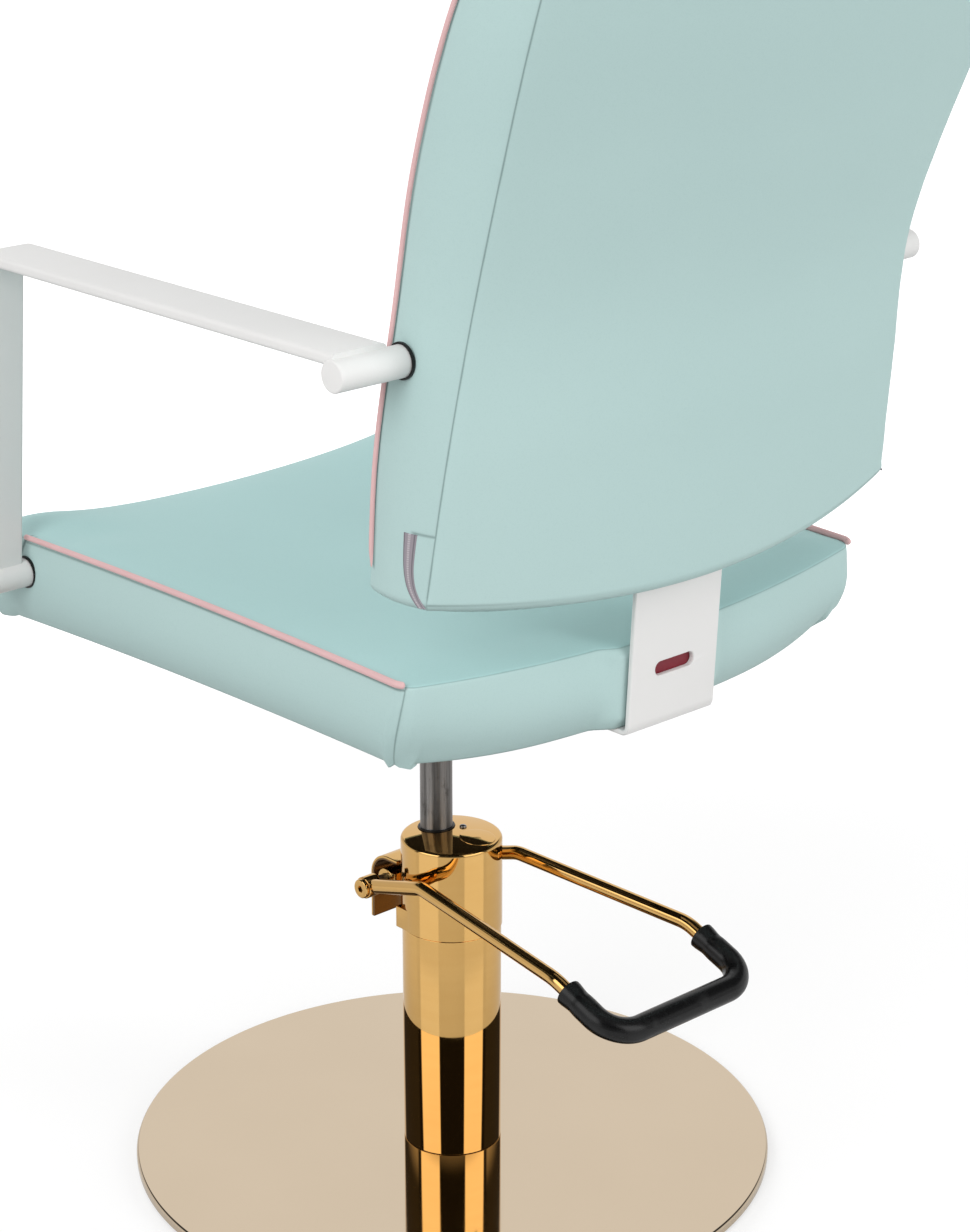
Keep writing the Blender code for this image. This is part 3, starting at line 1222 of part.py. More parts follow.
base_pad()
base_weight()
base_cover()
column_cover()
pump_cylinder()
pump_head()
rod_seal()
head_plug()
bleed_screw()
lever_hood()
plunger_spring()
plunger()
lever_bar()
lever_grip()
pivot_shaft()
lever_cam()
ram_piston()
piston_seal()
piston_rod()
seat_plate()
seat_board()
seat_cushion()
back_board()
back_cushion()
back_bracket()
bracket_backing()
for number, spot in enumerate(plate_bolt_places(), 1):
    underside_screw(f"plate_bolt_{number}", spot, PLATE_THICKNESS)
for number, spot in enumerate(flange_bolt_places(), 1):
    underside_screw(f"flange_bolt_{number}", spot, BRACKET_THICKNESS)
seat_face_x, back_face_x = arm_ring_faces()
for word, hand in (("left", 1.0), ("right", -1.0)):
    lever_bolt(f"lever_bolt_{word}", hand)
    seat_arm_block(f"seat_arm_block_{word}", hand)
    back_arm_block(f"back_arm_block_{word}", hand)
    seat_piping(f"seat_piping_{word}", hand)
    back_piping(f"back_piping_{word}", hand)
    back_zip(f"back_zip_{word}", hand)
    armrest(f"armrest_{word}", hand)
    arm_ring(f"seat_arm_ring_{word}", hand, seat_face_x, (FRONT_ROD_Y, FRONT_ROD_Z))
    arm_ring(f"back_arm_ring_{word}", hand, back_face_x, (REAR_ROD_Y, REAR_ROD_Z))
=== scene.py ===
"""Looks of the hydraulic hairdressing chair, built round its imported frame.

Metres, +Z up. The origin is on the floor under the middle of the base. The sitter faces -Y, the
foot lever reaches out behind at +Y, and the sitter's left is +X.
"""

import math

import bmesh
import bpy
import numpy as np
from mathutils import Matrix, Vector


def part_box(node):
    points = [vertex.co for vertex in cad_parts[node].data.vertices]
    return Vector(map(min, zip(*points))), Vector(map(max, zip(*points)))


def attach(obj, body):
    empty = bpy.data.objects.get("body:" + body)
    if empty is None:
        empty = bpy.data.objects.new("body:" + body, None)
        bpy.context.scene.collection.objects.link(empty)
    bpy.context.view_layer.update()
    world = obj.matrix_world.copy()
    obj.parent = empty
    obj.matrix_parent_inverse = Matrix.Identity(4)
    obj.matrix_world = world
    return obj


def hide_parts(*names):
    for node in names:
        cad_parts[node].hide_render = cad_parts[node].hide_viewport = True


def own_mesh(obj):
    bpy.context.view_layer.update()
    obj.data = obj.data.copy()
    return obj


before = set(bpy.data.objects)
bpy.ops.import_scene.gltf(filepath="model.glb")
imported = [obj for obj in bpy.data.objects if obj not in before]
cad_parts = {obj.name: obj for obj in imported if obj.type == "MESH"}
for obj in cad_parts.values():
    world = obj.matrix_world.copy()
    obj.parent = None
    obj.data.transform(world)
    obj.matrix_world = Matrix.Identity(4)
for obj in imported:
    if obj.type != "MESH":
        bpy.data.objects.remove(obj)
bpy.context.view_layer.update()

UP = (0.0, 0.0, 1.0)
ACROSS = (1.0, 0.0, 0.0)
LEFT_AND_RIGHT = (("left", 1.0), ("right", -1.0))
QUARTER_TURN = np.linspace(0.0, math.pi / 2.0, 6)

# Angles in degrees up to which faces are shaded smooth: plain pieces, cut ones, the zips and the pads
CREASE = 35.0
CUT_CREASE = 30.0
ZIP_CREASE = 50.0
PAD_CREASE = 60.0

# Gap between pieces that fit into each other, flat kept beside a rounded rim, and radius of an end's hub
FIT = 0.0003
RIM_FLAT = 0.0004
HUB_RADIUS = 0.001

# Base and pump column
BASE_RADIUS = 0.290
BASE_UNDERSIDE = 0.0023
BASE_TOP = 0.0101
BASE_EDGE_ROUND = 0.0026
BASE_LIP_ROUND = 0.0005
BASE_INNER_ROUND = 0.0011
BASE_HOLE = 0.0413
DISH_WALL = 0.0015
COLUMN_RADIUS = 0.0445
COLUMN_INNER = 0.0425
HEAD_RADIUS = 0.0455
HEAD_BOTTOM = 0.224
HEAD_TOP = 0.3086
HEAD_EDGE_ROUND = 0.003
HEAD_CROWN = 0.0032
JOINT_CHAMFER = 0.0006
CHEEK_HALF_WIDTH = 0.0445
CHEEK_REACH = 0.0254
CHEEK_HEIGHT = 0.0205
CHEEK_ROUND = 0.0008
ROD_RADIUS = 0.0145
ROD_Y = -0.020
ROD_FOOT = 0.2003
ROD_HEAD = 0.4914
ROD_CHAMFER = 0.0008
WIPER_INNER = 0.0148
WIPER_OUTER = 0.0184
LIP_INNER = 0.0168
LIP_DEPTH = 0.0009
LIP_ROUND = 0.0003
LIP_SLOPE = 0.0002
WIPER_NECK = 0.0166
WIPER_TOP = 0.3098
WIPER_DEPTH = 0.0036
WIPER_GAP = 0.0004
WIPER_ROUND = 0.0003
PLUG_PLACE = (-0.010, 0.0235)
PLUG_RADIUS = 0.0162
PLUG_DEPTH = 0.0037
PLUG_EDGE_SHARE = 0.9
PLUG_EDGE_HEIGHT = 0.0006
PLUG_EDGE_ROUND = 0.0005
PLUG_DOME = 0.0010
PLUG_DOME_FALL = 0.0003
PLUG_HUB = 0.0004
BLEED_PLACE = (-0.0150, -0.0010)
BLEED_RADIUS = 0.0032
BLEED_SHANK_RADIUS = 0.0016
BLEED_DEPTH = 0.006
BLEED_EDGE = 0.0004
BLEED_DOME = 0.0016

# Foot lever
PIVOT = (-0.051, 0.258)
SHAFT_RADIUS = 0.006
SHAFT_BORE_REACH = 0.06
BARREL_RADIUS = 0.0105
BARREL_HALF_LENGTH = 0.034
BARREL_ROUNDS = [0.0004, 0.001]
WEB_HALF_HEIGHT = 0.009
WEB_INSET = 0.0004
WEB_REAR = -0.039
WEB_ROUND = 0.0006
POCKET_HALF_WIDTH = 0.0135
POCKET_FRONT = -0.075
POCKET_BACK = -0.0354
POCKET_ROUND = 0.0005
POCKET_LOW = 0.2467
POCKET_HIGH = 0.2715
PLUNGER_Y = -0.0405
PLUNGER_BORE = 0.0042
PLUNGER_FLOOR = 0.2265
SPRING_WIRE = 0.0005
SPRING_TURNS = 5.0
SPRING_FLAT = 0.9
SPRING_STEPS = 161
BAR_RADIUS = 0.0065
EYE_RADIUS = 0.010
EYE_INNER_X = 0.046
EYE_OUTER_X = 0.0605
EYE_ROUND = 0.0009
LEVER_CORNERS = [(0.0535, -0.051, 0.258), (0.0575, 0.025, 0.282), (0.0795, 0.215, 0.2715),
                 (0.080, 0.288, 0.244)]
LEVER_ROUNDS = [0.030, 0.050, 0.028]
GRIP_RADIUS = 0.0112
GRIP_START_Y = 0.2314
GRIP_LIP = 0.0007
BOLT_HEAD_RADIUS = 0.0088
BOLT_FOOT_X = 0.0523
BOLT_SEAT_X = 0.0608
BOLT_END_X = 0.0640
BOLT_SHANK_RADIUS = 0.0056
BOLT_ROUNDS = [0.0001, 0.0002, 0.0012]
BOLT_SOCKET_FLAT = 0.0030
BOLT_SOCKET_RIM = 0.00375
BOLT_SOCKET_EASE = 0.0001
BOLT_SOCKET_DEPTH = 0.002
HOOD_RADIUS = 0.020
HOOD_THICKNESS = 0.004
HOOD_HALF_WIDTH = 0.0325
HOOD_REAR = -0.0375
HOOD_BOTTOM = 0.215
HOOD_EDGE = 0.0008
HOOD_ROWS = 80

# Swells of the grip beside its cut ends and at its stretched corners: height, way from the end, width
GRIP_SWELLS = ((0.0009, 0.0, 0.006), (-0.0004, 0.013, 0.004), (-0.0003, 0.052, 0.014))

# Seat pad
SEAT_HALF_WIDTH = 0.2565
SEAT_FRONT = -0.345
SEAT_REAR = 0.2524
SEAT_MIDDLE = -0.020
SEAT_REAR_BOW = 0.0206
REAR_UNDERCUT = 0.019
SEAT_FRONT_CORNER = 0.028
SEAT_REAR_CORNER = 0.012
SEAT_TOP = 0.575
SEAT_DISH = 0.014
FRONT_SCOOP = 0.5
FRONT_PUFF = 0.022
FRONT_PUFF_START = -0.21
FRONT_PUFF_LENGTH = 0.09
SEAM_HEIGHT = 0.569
SEAM_RISE = 0.0103
SEAM_CROWN = 0.004
SEAM_FALL_POWER = 10
FRONT_ROLL_START = -0.262
FRONT_ROLL_DROP = 0.020
FRONT_ROLL_TOP_SHARE = 0.3
SIDE_BULGE = 0.0052
BOTTOM_DRAW_IN = 0.008
SEAT_UNDERSIDE = 0.498
UNDERSIDE_FLAT = 0.42
UNDERSIDE_RISE = 0.0026
UNDERSIDE_SIDE_RISE = 0.0100
UNDERSIDE_PEAK_Y = 0.120
UNDERSIDE_REACH = 0.390
UNDERSIDE_FRONT_START = -0.281
UNDERSIDE_FRONT_LENGTH = 0.045
FRONT_HANG = 0.005
BOARD_THICKNESS = 0.012
BOARD_RECESS = 0.0197
BOARD_TOP_GAP = 0.0030
BOARD_SHARES = (1.0, 0.93, 0.85, 0.75, 0.45)
PRESS_START = 0.050
PRESS_END = 0.072
PRESS_GAP = 0.0015
PRESS_DEPTHS = (0.0, 0.1, 0.85, 1.0)
PRESS_SHARES = (0.6, 1.0, 1.0, 0.6)
PRESS_TOP_FADE = 0.02
FRONT_SEAM_Y = -0.2640
FRONT_SEAM_LEAN = 0.030
DRAWN_CORNER_WIDTH = 0.034
DRAWN_CORNER_LIFT = 0.016
DRAWN_CORNER_SPREAD = 0.014

# Seams: depth and width of the groove, and of the puckers beside it the wave's length and its turn by seed
SEAM_PINCH = 0.0007
SEAM_PINCH_WIDTH = 0.0016
UPRIGHT_PINCH = 0.0006
UPRIGHT_PINCH_WIDTH = 0.0013
PUCKER_WAVES = ((0.0049, 1.0), (0.0083, 2.1), (0.0131, 0.7))
SEAT_PUCKER = 0.00022
SEAT_PUCKER_FADE = 0.011
UPRIGHT_PUCKER = 0.0002
UPRIGHT_PUCKER_FADE = 0.02
# Dark lines: stitches, with painted shadow below the piping and by the armrest post at the seat's front seam,
# and painted shade in the fold on the top at that seam
STITCH_WIDTH = 0.0006
SEAT_STITCH_AND_SHADOW_SET_OUT = 0.0005
CORNER_STITCH_WIDTH = 0.0005
FRONT_SEAM_AND_SHADOW_WIDTH = 0.0022
TUCK_FOLD_SHADE_WIDTH = 0.0009
TUCK_LENGTH = 0.009
BACK_STITCH_AND_SHADOW_SET_OUT = 0.0009
BACK_STITCH_AND_SHADOW_WIDTH = 0.0014
CROSS_STITCH_WIDTH = 0.0011
HEM_STITCH_WIDTH = 0.0008

# How dark the threads look: by the seat's piping, along its bare edge, at its corners, and on the back; by
# the piping, on seat and back, the dark is stitch and painted shadow of the piping
PIPED_STITCH_AND_SHADOW_DARK = 0.8
BARE_DARK = 0.45
CORNER_DARK = 0.7
BACK_PIPED_STITCH_AND_SHADOW_DARK = 1.2
BACK_REAR_DARK = 0.75
BACK_CROSS_DARK = 0.6
BACK_HEM_DARK = 0.6

# Folds of the cover at the seat's lower rear corners: way to the peak and to the end, and how far they hang
REAR_EAR = (0.019, 0.0225)
REAR_EAR_HANG = 0.0044
SIDE_EAR = (0.0115, 0.019)
SIDE_EAR_HANG = 0.0035
FRONT_SEAM_TUCK = 0.0010
FRONT_SEAM_TUCK_WIDTH = 0.005

# Plate under the seat
PLATE_HALF_WIDTH = 0.100
PLATE_HALF_DEPTH = 0.085
PLATE_CORNER = 0.020
PLATE_EDGE = 0.001
PLATE_TOP = 0.4977
PLATE_BOTTOM = 0.4917
SOCKET_BOTTOM = 0.4507
SOCKET_TOP_RADIUS = 0.034
SOCKET_BOTTOM_RADIUS = 0.024
SOCKET_OVERLAP = 0.002
SOCKET_ROUND = 0.0009

# Back pad: heights and, at each, the front edge, the rear seam and the half width
BACK_HEIGHTS = np.array([0.6485, 0.753, 0.867, 0.981, 1.086, 1.150])
BACK_FRONT_EDGE = np.array([0.1955, 0.1955, 0.2085, 0.239, 0.2865, 0.322])
BACK_REAR_SEAM = np.array([0.2594, 0.2733, 0.2917, 0.3297, 0.372, 0.398])
BACK_HALF_WIDTH = np.array([0.2595, 0.2525, 0.2437, 0.250, 0.2605, 0.264])
BACK_BOTTOM = 0.6485
BACK_TOP = 1.150
BACK_FRONT_BOW = 0.034
BACK_FRONT_CROWN = 0.006
BACK_REAR_BOW = 0.038
BACK_GUSSET_BULGE = 0.006
BACK_BOTTOM_SAG = 0.0247
BACK_SAG_FADE = 0.110
BACK_TOP_ROUND = 0.034
BACK_BOTTOM_ROUND = 0.008
BACK_FOOT_SWELL = 0.0075
BACK_SEAM_FADE = 0.012
BACK_PUCKER = 0.0002
BACK_PUCKER_FADE = 0.012
PINCH_SHARE = 0.7
HEM_RISE = 0.0055

# Pinch at the back's front and rear seams: width of the groove, then depth and width of the soft hollow
FRONT_PINCH = (0.0016, 0.0006, 0.006)
REAR_PINCH = (0.0014, 0.0008, 0.007)

# Rear bracket
BRACKET_HALF_WIDTH = 0.0495
BRACKET_THICKNESS = 0.0045
BRACKET_FACE_Y = 0.2660
BRACKET_LEAN = math.radians(3.2)
BRACKET_BEND_ROUND = 0.005
BRACKET_EDGE = 0.0014
BRACKET_ROWS = 109
BRACKET_TOP = 0.760
FLANGE_FRONT = 0.120
SLOT_LENGTH = 0.044
SLOT_WIDTH = 0.012
SLOT_HEIGHT = 0.545
SLOT_EASE = 0.001
SLOT_CUT_INSIDE = 0.02
SLOT_CUT_OUTSIDE = 0.01

# Armrests
ARM_MIDDLE_X = 0.2929
ARM_HALF_WIDTH = 0.0257
ARM_THICKNESS = 0.0102
ARM_EDGE_ROUND = 0.0036
ARM_TOP = 0.8500
ARM_BEND_ROUND = 0.020
ARM_ROD_RADIUS = 0.0125
ARM_ROD_END_X = 0.3196
ARM_ROD_HUB = 0.0005
ARM_ROD_ROUNDS = [0.0004, 0.0016]
RING_FIT = 0.0001
RING_SUNK = 0.0012
RING_ROUND = 0.0005
REAR_ROD = (0.228, 0.8335)
FRONT_ROD = (-0.2603, 0.551)
POST_LEAN = 0.0962
REAR_ROD_INNER_X = 0.1963
FRONT_ROD_INNER_X = 0.2263

# Piping and zips
PIPING_RADIUS = 0.0024
PIPING_GROWTH = 0.0005
PIPING_OFFSET = 0.0015
BACK_PIPING_SET_BACK = 0.0030
BACK_PIPING_ENDS = (0.668, 1.128)
ZIP_ENDS = (0.707, 0.6515)
ZIP_WIDTHS = (0.0128, 0.0063)
ZIP_EDGE_Y = 0.2385
ZIP_SWEEP = 0.015
ZIP_TAPE = 0.0007
ZIP_SUNK = 0.0004
ZIP_COIL = 0.0009
ZIP_COIL_WIDTH = 0.17
ZIP_HEM = 0.0003
ZIP_HEM_PLACE = 0.76
ZIP_HEM_WIDTH = 0.1
GUSSET_SEAM_HEIGHT = 0.7074
GUSSET_SEAM_ROWS = np.array([-0.0016, -0.0008, 0.0, 0.0008, 0.0016])
GUSSET_SEAM_CLEAR = 0.0022

# Camera of the photograph
CAMERA_PLACE = (1.67172, 1.85219, 1.40598)
CAMERA_AIM = (-0.63934, -0.69151, -0.33624)
CAMERA_LENS = 89.22

CAMERA_SENSOR = 36.0
CAMERA_REACH = 50.0

# Floor and lamps: each lamp's name, place, aim and power
FLOOR_Z = -0.0004
FLOOR_SIZE = 9.0
LAMP_SIZE = 1.8
LAMPS = (("key_lamp", (2.7, 1.0, 2.0), (0.0, 0.0, 0.6), 44.0),
         ("fill_lamp", (-1.4, 3.2, 1.5), (0.0, 0.2, 0.8), 48.0),
         ("front_lamp", (-1.0, -3.4, 1.75), (0.0, 0.0, 0.65), 52.0))


# Shapes as grids of points

def skin(grid, around=False, along=False, caps=True):
    """Quads over a grid of points, as points, quads and triangles.

    around joins each row's last point to its first, along joins the last row to the first, and caps
    close the first and last rows on their middles.
    """
    rows, columns = grid.shape[:2]
    number = np.arange(rows * columns).reshape(rows, columns)
    if around:
        number = np.hstack([number, number[:, :1]])
    if along:
        number = np.vstack([number, number[:1]])
    quads = np.stack([number[:-1, :-1], number[:-1, 1:], number[1:, 1:], number[1:, :-1]], axis=-1)
    points = grid.reshape(-1, 3)
    triangles = np.zeros((0, 3), dtype=int)
    if caps and not along:
        ends = number[[0, -1]]
        hubs = np.broadcast_to(len(points) + np.arange(2)[:, None], ends[:, 1:].shape)
        triangles = np.stack([ends[:, :-1], ends[:, 1:], hubs], axis=-1).reshape(-1, 3)
        points = np.concatenate([points, grid[[0, -1]].mean(axis=1)])
    return points, quads.reshape(-1, 4), triangles


def piece(name, shells, finish, body, nodes=(), crease=CREASE, marks=None):
    """One object from closed shells: doubles merged, faces turned out, smooth up to the crease angle.

    marks are named values for each point, which the finish reads.
    """
    starts = np.cumsum([0] + [len(points) for points, _, _ in shells])
    faces = []
    for start, (_, quads, triangles) in zip(starts, shells):
        faces += (quads + start).tolist() + (triangles + start).tolist()
    mesh = bpy.data.meshes.new(name)
    mesh.from_pydata(np.concatenate([points for points, _, _ in shells]).tolist(), [], faces)
    for mark, values in (marks or {}).items():
        layer = mesh.attributes.new(mark, 'FLOAT', 'POINT')
        layer.data.foreach_set("value", np.asarray(values, dtype=np.float32).ravel())
    work = bmesh.new()
    work.from_mesh(mesh)
    bmesh.ops.remove_doubles(work, verts=work.verts, dist=1e-6)
    bmesh.ops.recalc_face_normals(work, faces=work.faces)
    work.to_mesh(mesh)
    work.free()
    obj = bpy.data.objects.new(name, mesh)
    bpy.context.scene.collection.objects.link(obj)
    dress(obj, finish, crease)
    if body:
        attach(obj, body)
        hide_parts(*nodes)
    return obj


def dress(obj, finish, crease):
    """Give an object its finish, smooth-shaded up to the crease angle."""
    obj.data.materials.clear()
    obj.data.materials.append(finish)
    obj.data.shade_smooth()
    obj.data.set_sharp_from_angle(angle=math.radians(crease))


def combine(target, operation, tools):
    """Join tools to a piece, or cut it by them. The tools are used up."""
    for tool in tools:
        step = target.modifiers.new("shape", 'BOOLEAN')
        step.operation = operation
        step.solver = 'MANIFOLD'
        step.object = tool
        graph = bpy.context.evaluated_depsgraph_get()
        shaped = bpy.data.meshes.new_from_object(target.evaluated_get(graph))
        target.modifiers.clear()
        target.data = shaped
        bpy.data.objects.remove(tool, do_unlink=True)


def rounded_path(corners, rounds, steps=12):
    """A path of straight runs whose inner corners are arcs of the given radii."""
    corners = np.asarray(corners, dtype=float)
    path = [corners[:1]]
    for before, corner, after, radius in zip(corners, corners[1:], corners[2:], rounds):
        back = (before - corner) / np.linalg.norm(before - corner)
        ahead = (after - corner) / np.linalg.norm(after - corner)
        half = 0.5 * math.acos(np.clip(back @ ahead, -1.0, 1.0))
        centre = corner + (back + ahead) / np.linalg.norm(back + ahead) * radius / math.sin(half)
        start = corner + back * radius / math.tan(half) - centre
        end = corner + ahead * radius / math.tan(half) - centre
        sweep = math.pi - 2.0 * half
        share = np.linspace(0.0, 1.0, steps + 1)[:, None]
        arc = np.sin((1.0 - share) * sweep) * start + np.sin(share * sweep) * end
        path.append(centre + arc / math.sin(sweep))
    path.append(corners[-1:])
    return np.concatenate(path)


def softened(corners, radius, steps=6):
    """A closed outline with every corner rounded, started in the middle of its last side."""
    corners = np.asarray(corners, dtype=float)
    start = (corners[:1] + corners[-1:]) / 2.0
    whole = np.concatenate([start, corners, start])
    return rounded_path(whole, [radius] * len(corners), steps)[:-1]


def lengths(path):
    """Distance along a path at each of its points."""
    return np.concatenate([[0.0], np.cumsum(np.linalg.norm(np.diff(path, axis=0), axis=1))])


def along_path(path, places):
    """Points of a path at the given distances along it."""
    run = lengths(path)
    return np.stack([np.interp(places, run, path[:, k]) for k in range(path.shape[1])], axis=-1)


def side_line(path, places, x=0.0):
    """Points of a path drawn in the side view, at the given distances along it, all at one x."""
    line = along_path(path, places)
    return np.column_stack([np.full(len(line), x), line])


def turned(profile, axis='Z', centre=(0.0, 0.0), segments=192):
    """A profile of (radius, place along the axis) points carried round an axis."""
    radius, place = np.asarray(profile, dtype=float).T[:, :, None]
    turn = np.arange(segments) * 2.0 * math.pi / segments
    first = centre[0] + radius * np.cos(turn)
    second = centre[1] + radius * np.sin(turn)
    place = np.broadcast_to(place, first.shape)
    return np.stack([first, second, place] if axis == 'Z' else [place, first, second], axis=-1)


def carried(path, outline, up):
    """An outline carried along a path: its first value goes to the path's side, its second towards up."""
    ahead = np.gradient(path, axis=0)
    side = np.cross(ahead, up)
    side /= np.linalg.norm(side, axis=1)[:, None]
    over = np.cross(side, ahead)
    over /= np.linalg.norm(over, axis=1)[:, None]
    return path[:, None] + outline[..., :1] * side[:, None] + outline[..., 1:] * over[:, None]


def rounds_of(radius, sides):
    """Circles of the given radii, one for each row."""
    turn = np.arange(sides) * 2.0 * math.pi / sides
    circle = np.stack([np.cos(turn), np.sin(turn)], axis=-1)
    return np.asarray(radius, dtype=float).reshape(-1, 1, 1) * circle


def round_ended(count, length, radius):
    """Places along a cord and its radius there, with half-round ends."""
    bend = np.linspace(0.0, math.pi / 2.0, 7)[:-1]
    tip = radius * (1.0 - np.cos(bend))
    places = np.concatenate([tip, np.linspace(radius, length - radius, count), length - tip[::-1]])
    end = radius * np.sin(bend) + 1e-5
    sizes = np.concatenate([end, np.full(count, radius), end[::-1]])
    return places, sizes


def bar_outline(half_width, half_depth, radius, inset=0.0, steps=6):
    """Rounded rectangle, drawn in by inset: one outline, or one for each inset."""
    inset = np.atleast_1d(inset)[:, None, None]
    turn = np.arange(4)[:, None] * math.pi / 2.0 + np.linspace(0.0, math.pi / 2.0, steps)
    x = np.array([1, -1, -1, 1])[:, None] * (half_width - radius) + radius * np.cos(turn)
    y = np.array([1, 1, -1, -1])[:, None] * (half_depth - radius) + radius * np.sin(turn)
    shrink_x = np.clip(1.0 - inset / half_width, 0.05, None)
    shrink_y = np.clip(1.0 - inset / half_depth, 0.05, None)
    return np.concatenate([x.reshape(1, -1, 1) * shrink_x, y.reshape(1, -1, 1) * shrink_y], axis=-1)


def rounded_block(low, high, radius, steps=5):
    """A box with round edges: a small ball's surface, its eight parts moved out to the box's corners."""
    low, high = np.asarray(low), np.asarray(high)
    half = (high - low) / 2.0 - radius
    quarter = np.linspace(0.0, math.pi / 2.0, steps)
    turn = (np.arange(4)[:, None] * math.pi / 2.0 + quarter).ravel()
    rise = np.concatenate([-quarter[::-1], quarter])[:, None]
    side_x = np.repeat([1, -1, -1, 1], steps)
    side_y = np.repeat([1, 1, -1, -1], steps)
    side_z = np.repeat([-1, 1], steps)[:, None]
    x = side_x * half[0] + radius * np.cos(rise) * np.cos(turn)
    y = side_y * half[1] + radius * np.cos(rise) * np.sin(turn)
    z = np.broadcast_to(side_z * half[2] + radius * np.sin(rise), x.shape)
    return (low + high) / 2.0 + np.stack([x, y, z], axis=-1)


def eased(share):
    """A share from 0 to 1 that starts and ends level."""
    return share ** 2 * (3.0 - 2.0 * share)


def through(knots, values, at):
    """A smooth curve through the values at the knots."""
    at = np.asarray(at, dtype=float)
    slope = np.gradient(values, knots)
    i = np.clip(np.searchsorted(knots, at) - 1, 0, len(knots) - 2)
    span = knots[i + 1] - knots[i]
    u = (at - knots[i]) / span
    start = u * (1.0 - u) ** 2 * slope[i] * span
    end = u * u * (u - 1.0) * slope[i + 1] * span
    return values[i] + (values[i + 1] - values[i]) * eased(u) + start + end


def ridge(distance, width):
    """A smooth bump of height 1 that fades over the width."""
    return np.exp(-(distance / width) ** 2)


def pucker(run, seed):
    """Uneven waves from -1 to 1 along a seam."""
    waves = [np.sin(run / length + turn * seed) for length, turn in PUCKER_WAVES]
    return sum(waves) / len(waves)


def with_hubs(values, hub=0.0):
    """Values for a grid's points, and one for each of the two hubs that close its ends."""
    return np.append(values, [hub, hub])


# Finishes

class Value:
    """A shader socket that takes part in sums: each operator adds one Math node."""

    def __init__(self, paint, socket):
        self.paint = paint
        self.socket = socket

    def math(self, operation, first, second=0.0):
        return self.paint.make("ShaderNodeMath", {"operation": operation}, {0: first, 1: second})

    def __add__(self, other):
        return self.math("ADD", self, other)

    def __radd__(self, other):
        return self.math("ADD", other, self)

    def __sub__(self, other):
        return self.math("SUBTRACT", self, other)

    def __rsub__(self, other):
        return self.math("SUBTRACT", other, self)

    def __mul__(self, other):
        return self.math("MULTIPLY", self, other)

    def __rmul__(self, other):
        return self.math("MULTIPLY", other, self)

    def __abs__(self):
        return self.math("ABSOLUTE", self)


class Paint:
    """A node tree that is filled by calls: make() adds any node, the rest are common uses of it."""

    def __init__(self, owner):
        owner.use_nodes = True
        self.owner = owner
        self.tree = owner.node_tree

    def feed(self, socket, value):
        """Link a socket to another node's value, or set it to a plain one."""
        if isinstance(value, Value):
            self.tree.links.new(value.socket, socket)
        else:
            socket.default_value = value

    def make(self, kind, settings=None, sockets=None, output=0):
        """Add a node of a kind: its settings first, then the values or links of its sockets."""
        node = self.tree.nodes.new(kind)
        for key, value in (settings or {}).items():
            setattr(node, key, value)
        for key, value in (sockets or {}).items():
            self.feed(node.inputs[key], value)
        return Value(self, node.outputs[output])

    def set(self, **sockets):
        """Feed the surface shader's own sockets."""
        for key, value in sockets.items():
            self.feed(self.tree.nodes["Principled BSDF"].inputs[key.replace("_", " ")], value)

    def place(self, stretch=(1.0, 1.0, 1.0)):
        """The piece's own coordinates, stretched."""
        own = self.make("ShaderNodeTexCoord", output="Object")
        return self.make("ShaderNodeMapping", None, {"Vector": own, "Scale": stretch})

    def axes(self, vector):
        """The three parts of a vector."""
        parts = self.make("ShaderNodeSeparateXYZ", None, {0: vector})
        return [Value(self, parts.socket.node.outputs[k]) for k in range(3)]

    def noise(self, vector, scale, detail=3.0, roughness=0.5):
        """Cloudy values from 0 to 1."""
        return self.make("ShaderNodeTexNoise", None,
                         {"Vector": vector, "Scale": scale, "Detail": detail, "Roughness": roughness})

    def cells(self, vector, scale):
        """Distance to the nearest cell middle, for leather grain."""
        return self.make("ShaderNodeTexVoronoi", {"feature": 'F1'}, {"Vector": vector, "Scale": scale})

    def mark(self, name):
        """A named value of the mesh's points."""
        return self.make("ShaderNodeAttribute", {"attribute_name": name}, output="Fac")

    def step(self, value, low, high):
        """0 below low, 1 above high, smooth between."""
        return self.make("ShaderNodeMapRange", {"interpolation_type": 'SMOOTHSTEP'},
                         {"Value": value, "From Min": low, "From Max": high})

    def mix(self, share, first, second):
        """Blend of two colours."""
        return self.make("ShaderNodeMix", {"data_type": 'RGBA'},
                         {0: share, 6: (*first, 1.0) if isinstance(first, tuple) else first,
                          7: (*second, 1.0) if isinstance(second, tuple) else second}, output=2)

    def bump(self, height, strength, distance, under=None):
        """A normal tilted by fine relief, laid over another one where that is given."""
        sockets = {"Height": height, "Strength": strength, "Distance": distance}
        if under:
            sockets["Normal"] = under
        return self.make("ShaderNodeBump", None, sockets)


def new_paint(name):
    """An empty material to paint."""
    return Paint(bpy.data.materials.new(name))


def gold_mirror():
    """Mirror-bright gold plating with faint wiping marks."""
    paint = new_paint("gold_mirror")
    wipe = paint.noise(paint.place((1.0, 1.0, 6.0)), 18.0, 4.0)
    paint.set(Base_Color=paint.mix(wipe, (0.72, 0.425, 0.140), (0.77, 0.475, 0.170)), Metallic=1.0,
              Roughness=0.025 + 0.03 * paint.step(wipe, 0.45, 0.8))
    return paint.owner


def hood_gold_painted_shade():
    """Gold plating with painted shade: dark brown and rougher on the inside of the bent plate, where shade
    falls under the bend.
    """
    paint = new_paint("hood_gold_painted_shade")
    cloud = paint.noise(paint.place(), 45.0, 4.0)
    # painted shade on the inner face of the bend, mottled by the cloud
    inside = paint.step(paint.mark("inside") + 0.3 * cloud, 0.45, 0.85)
    paint.set(Base_Color=paint.mix(inside, (0.74, 0.45, 0.155), (0.20, 0.115, 0.055)), Metallic=1.0,
              Roughness=0.03 + 0.16 * inside)
    return paint.owner


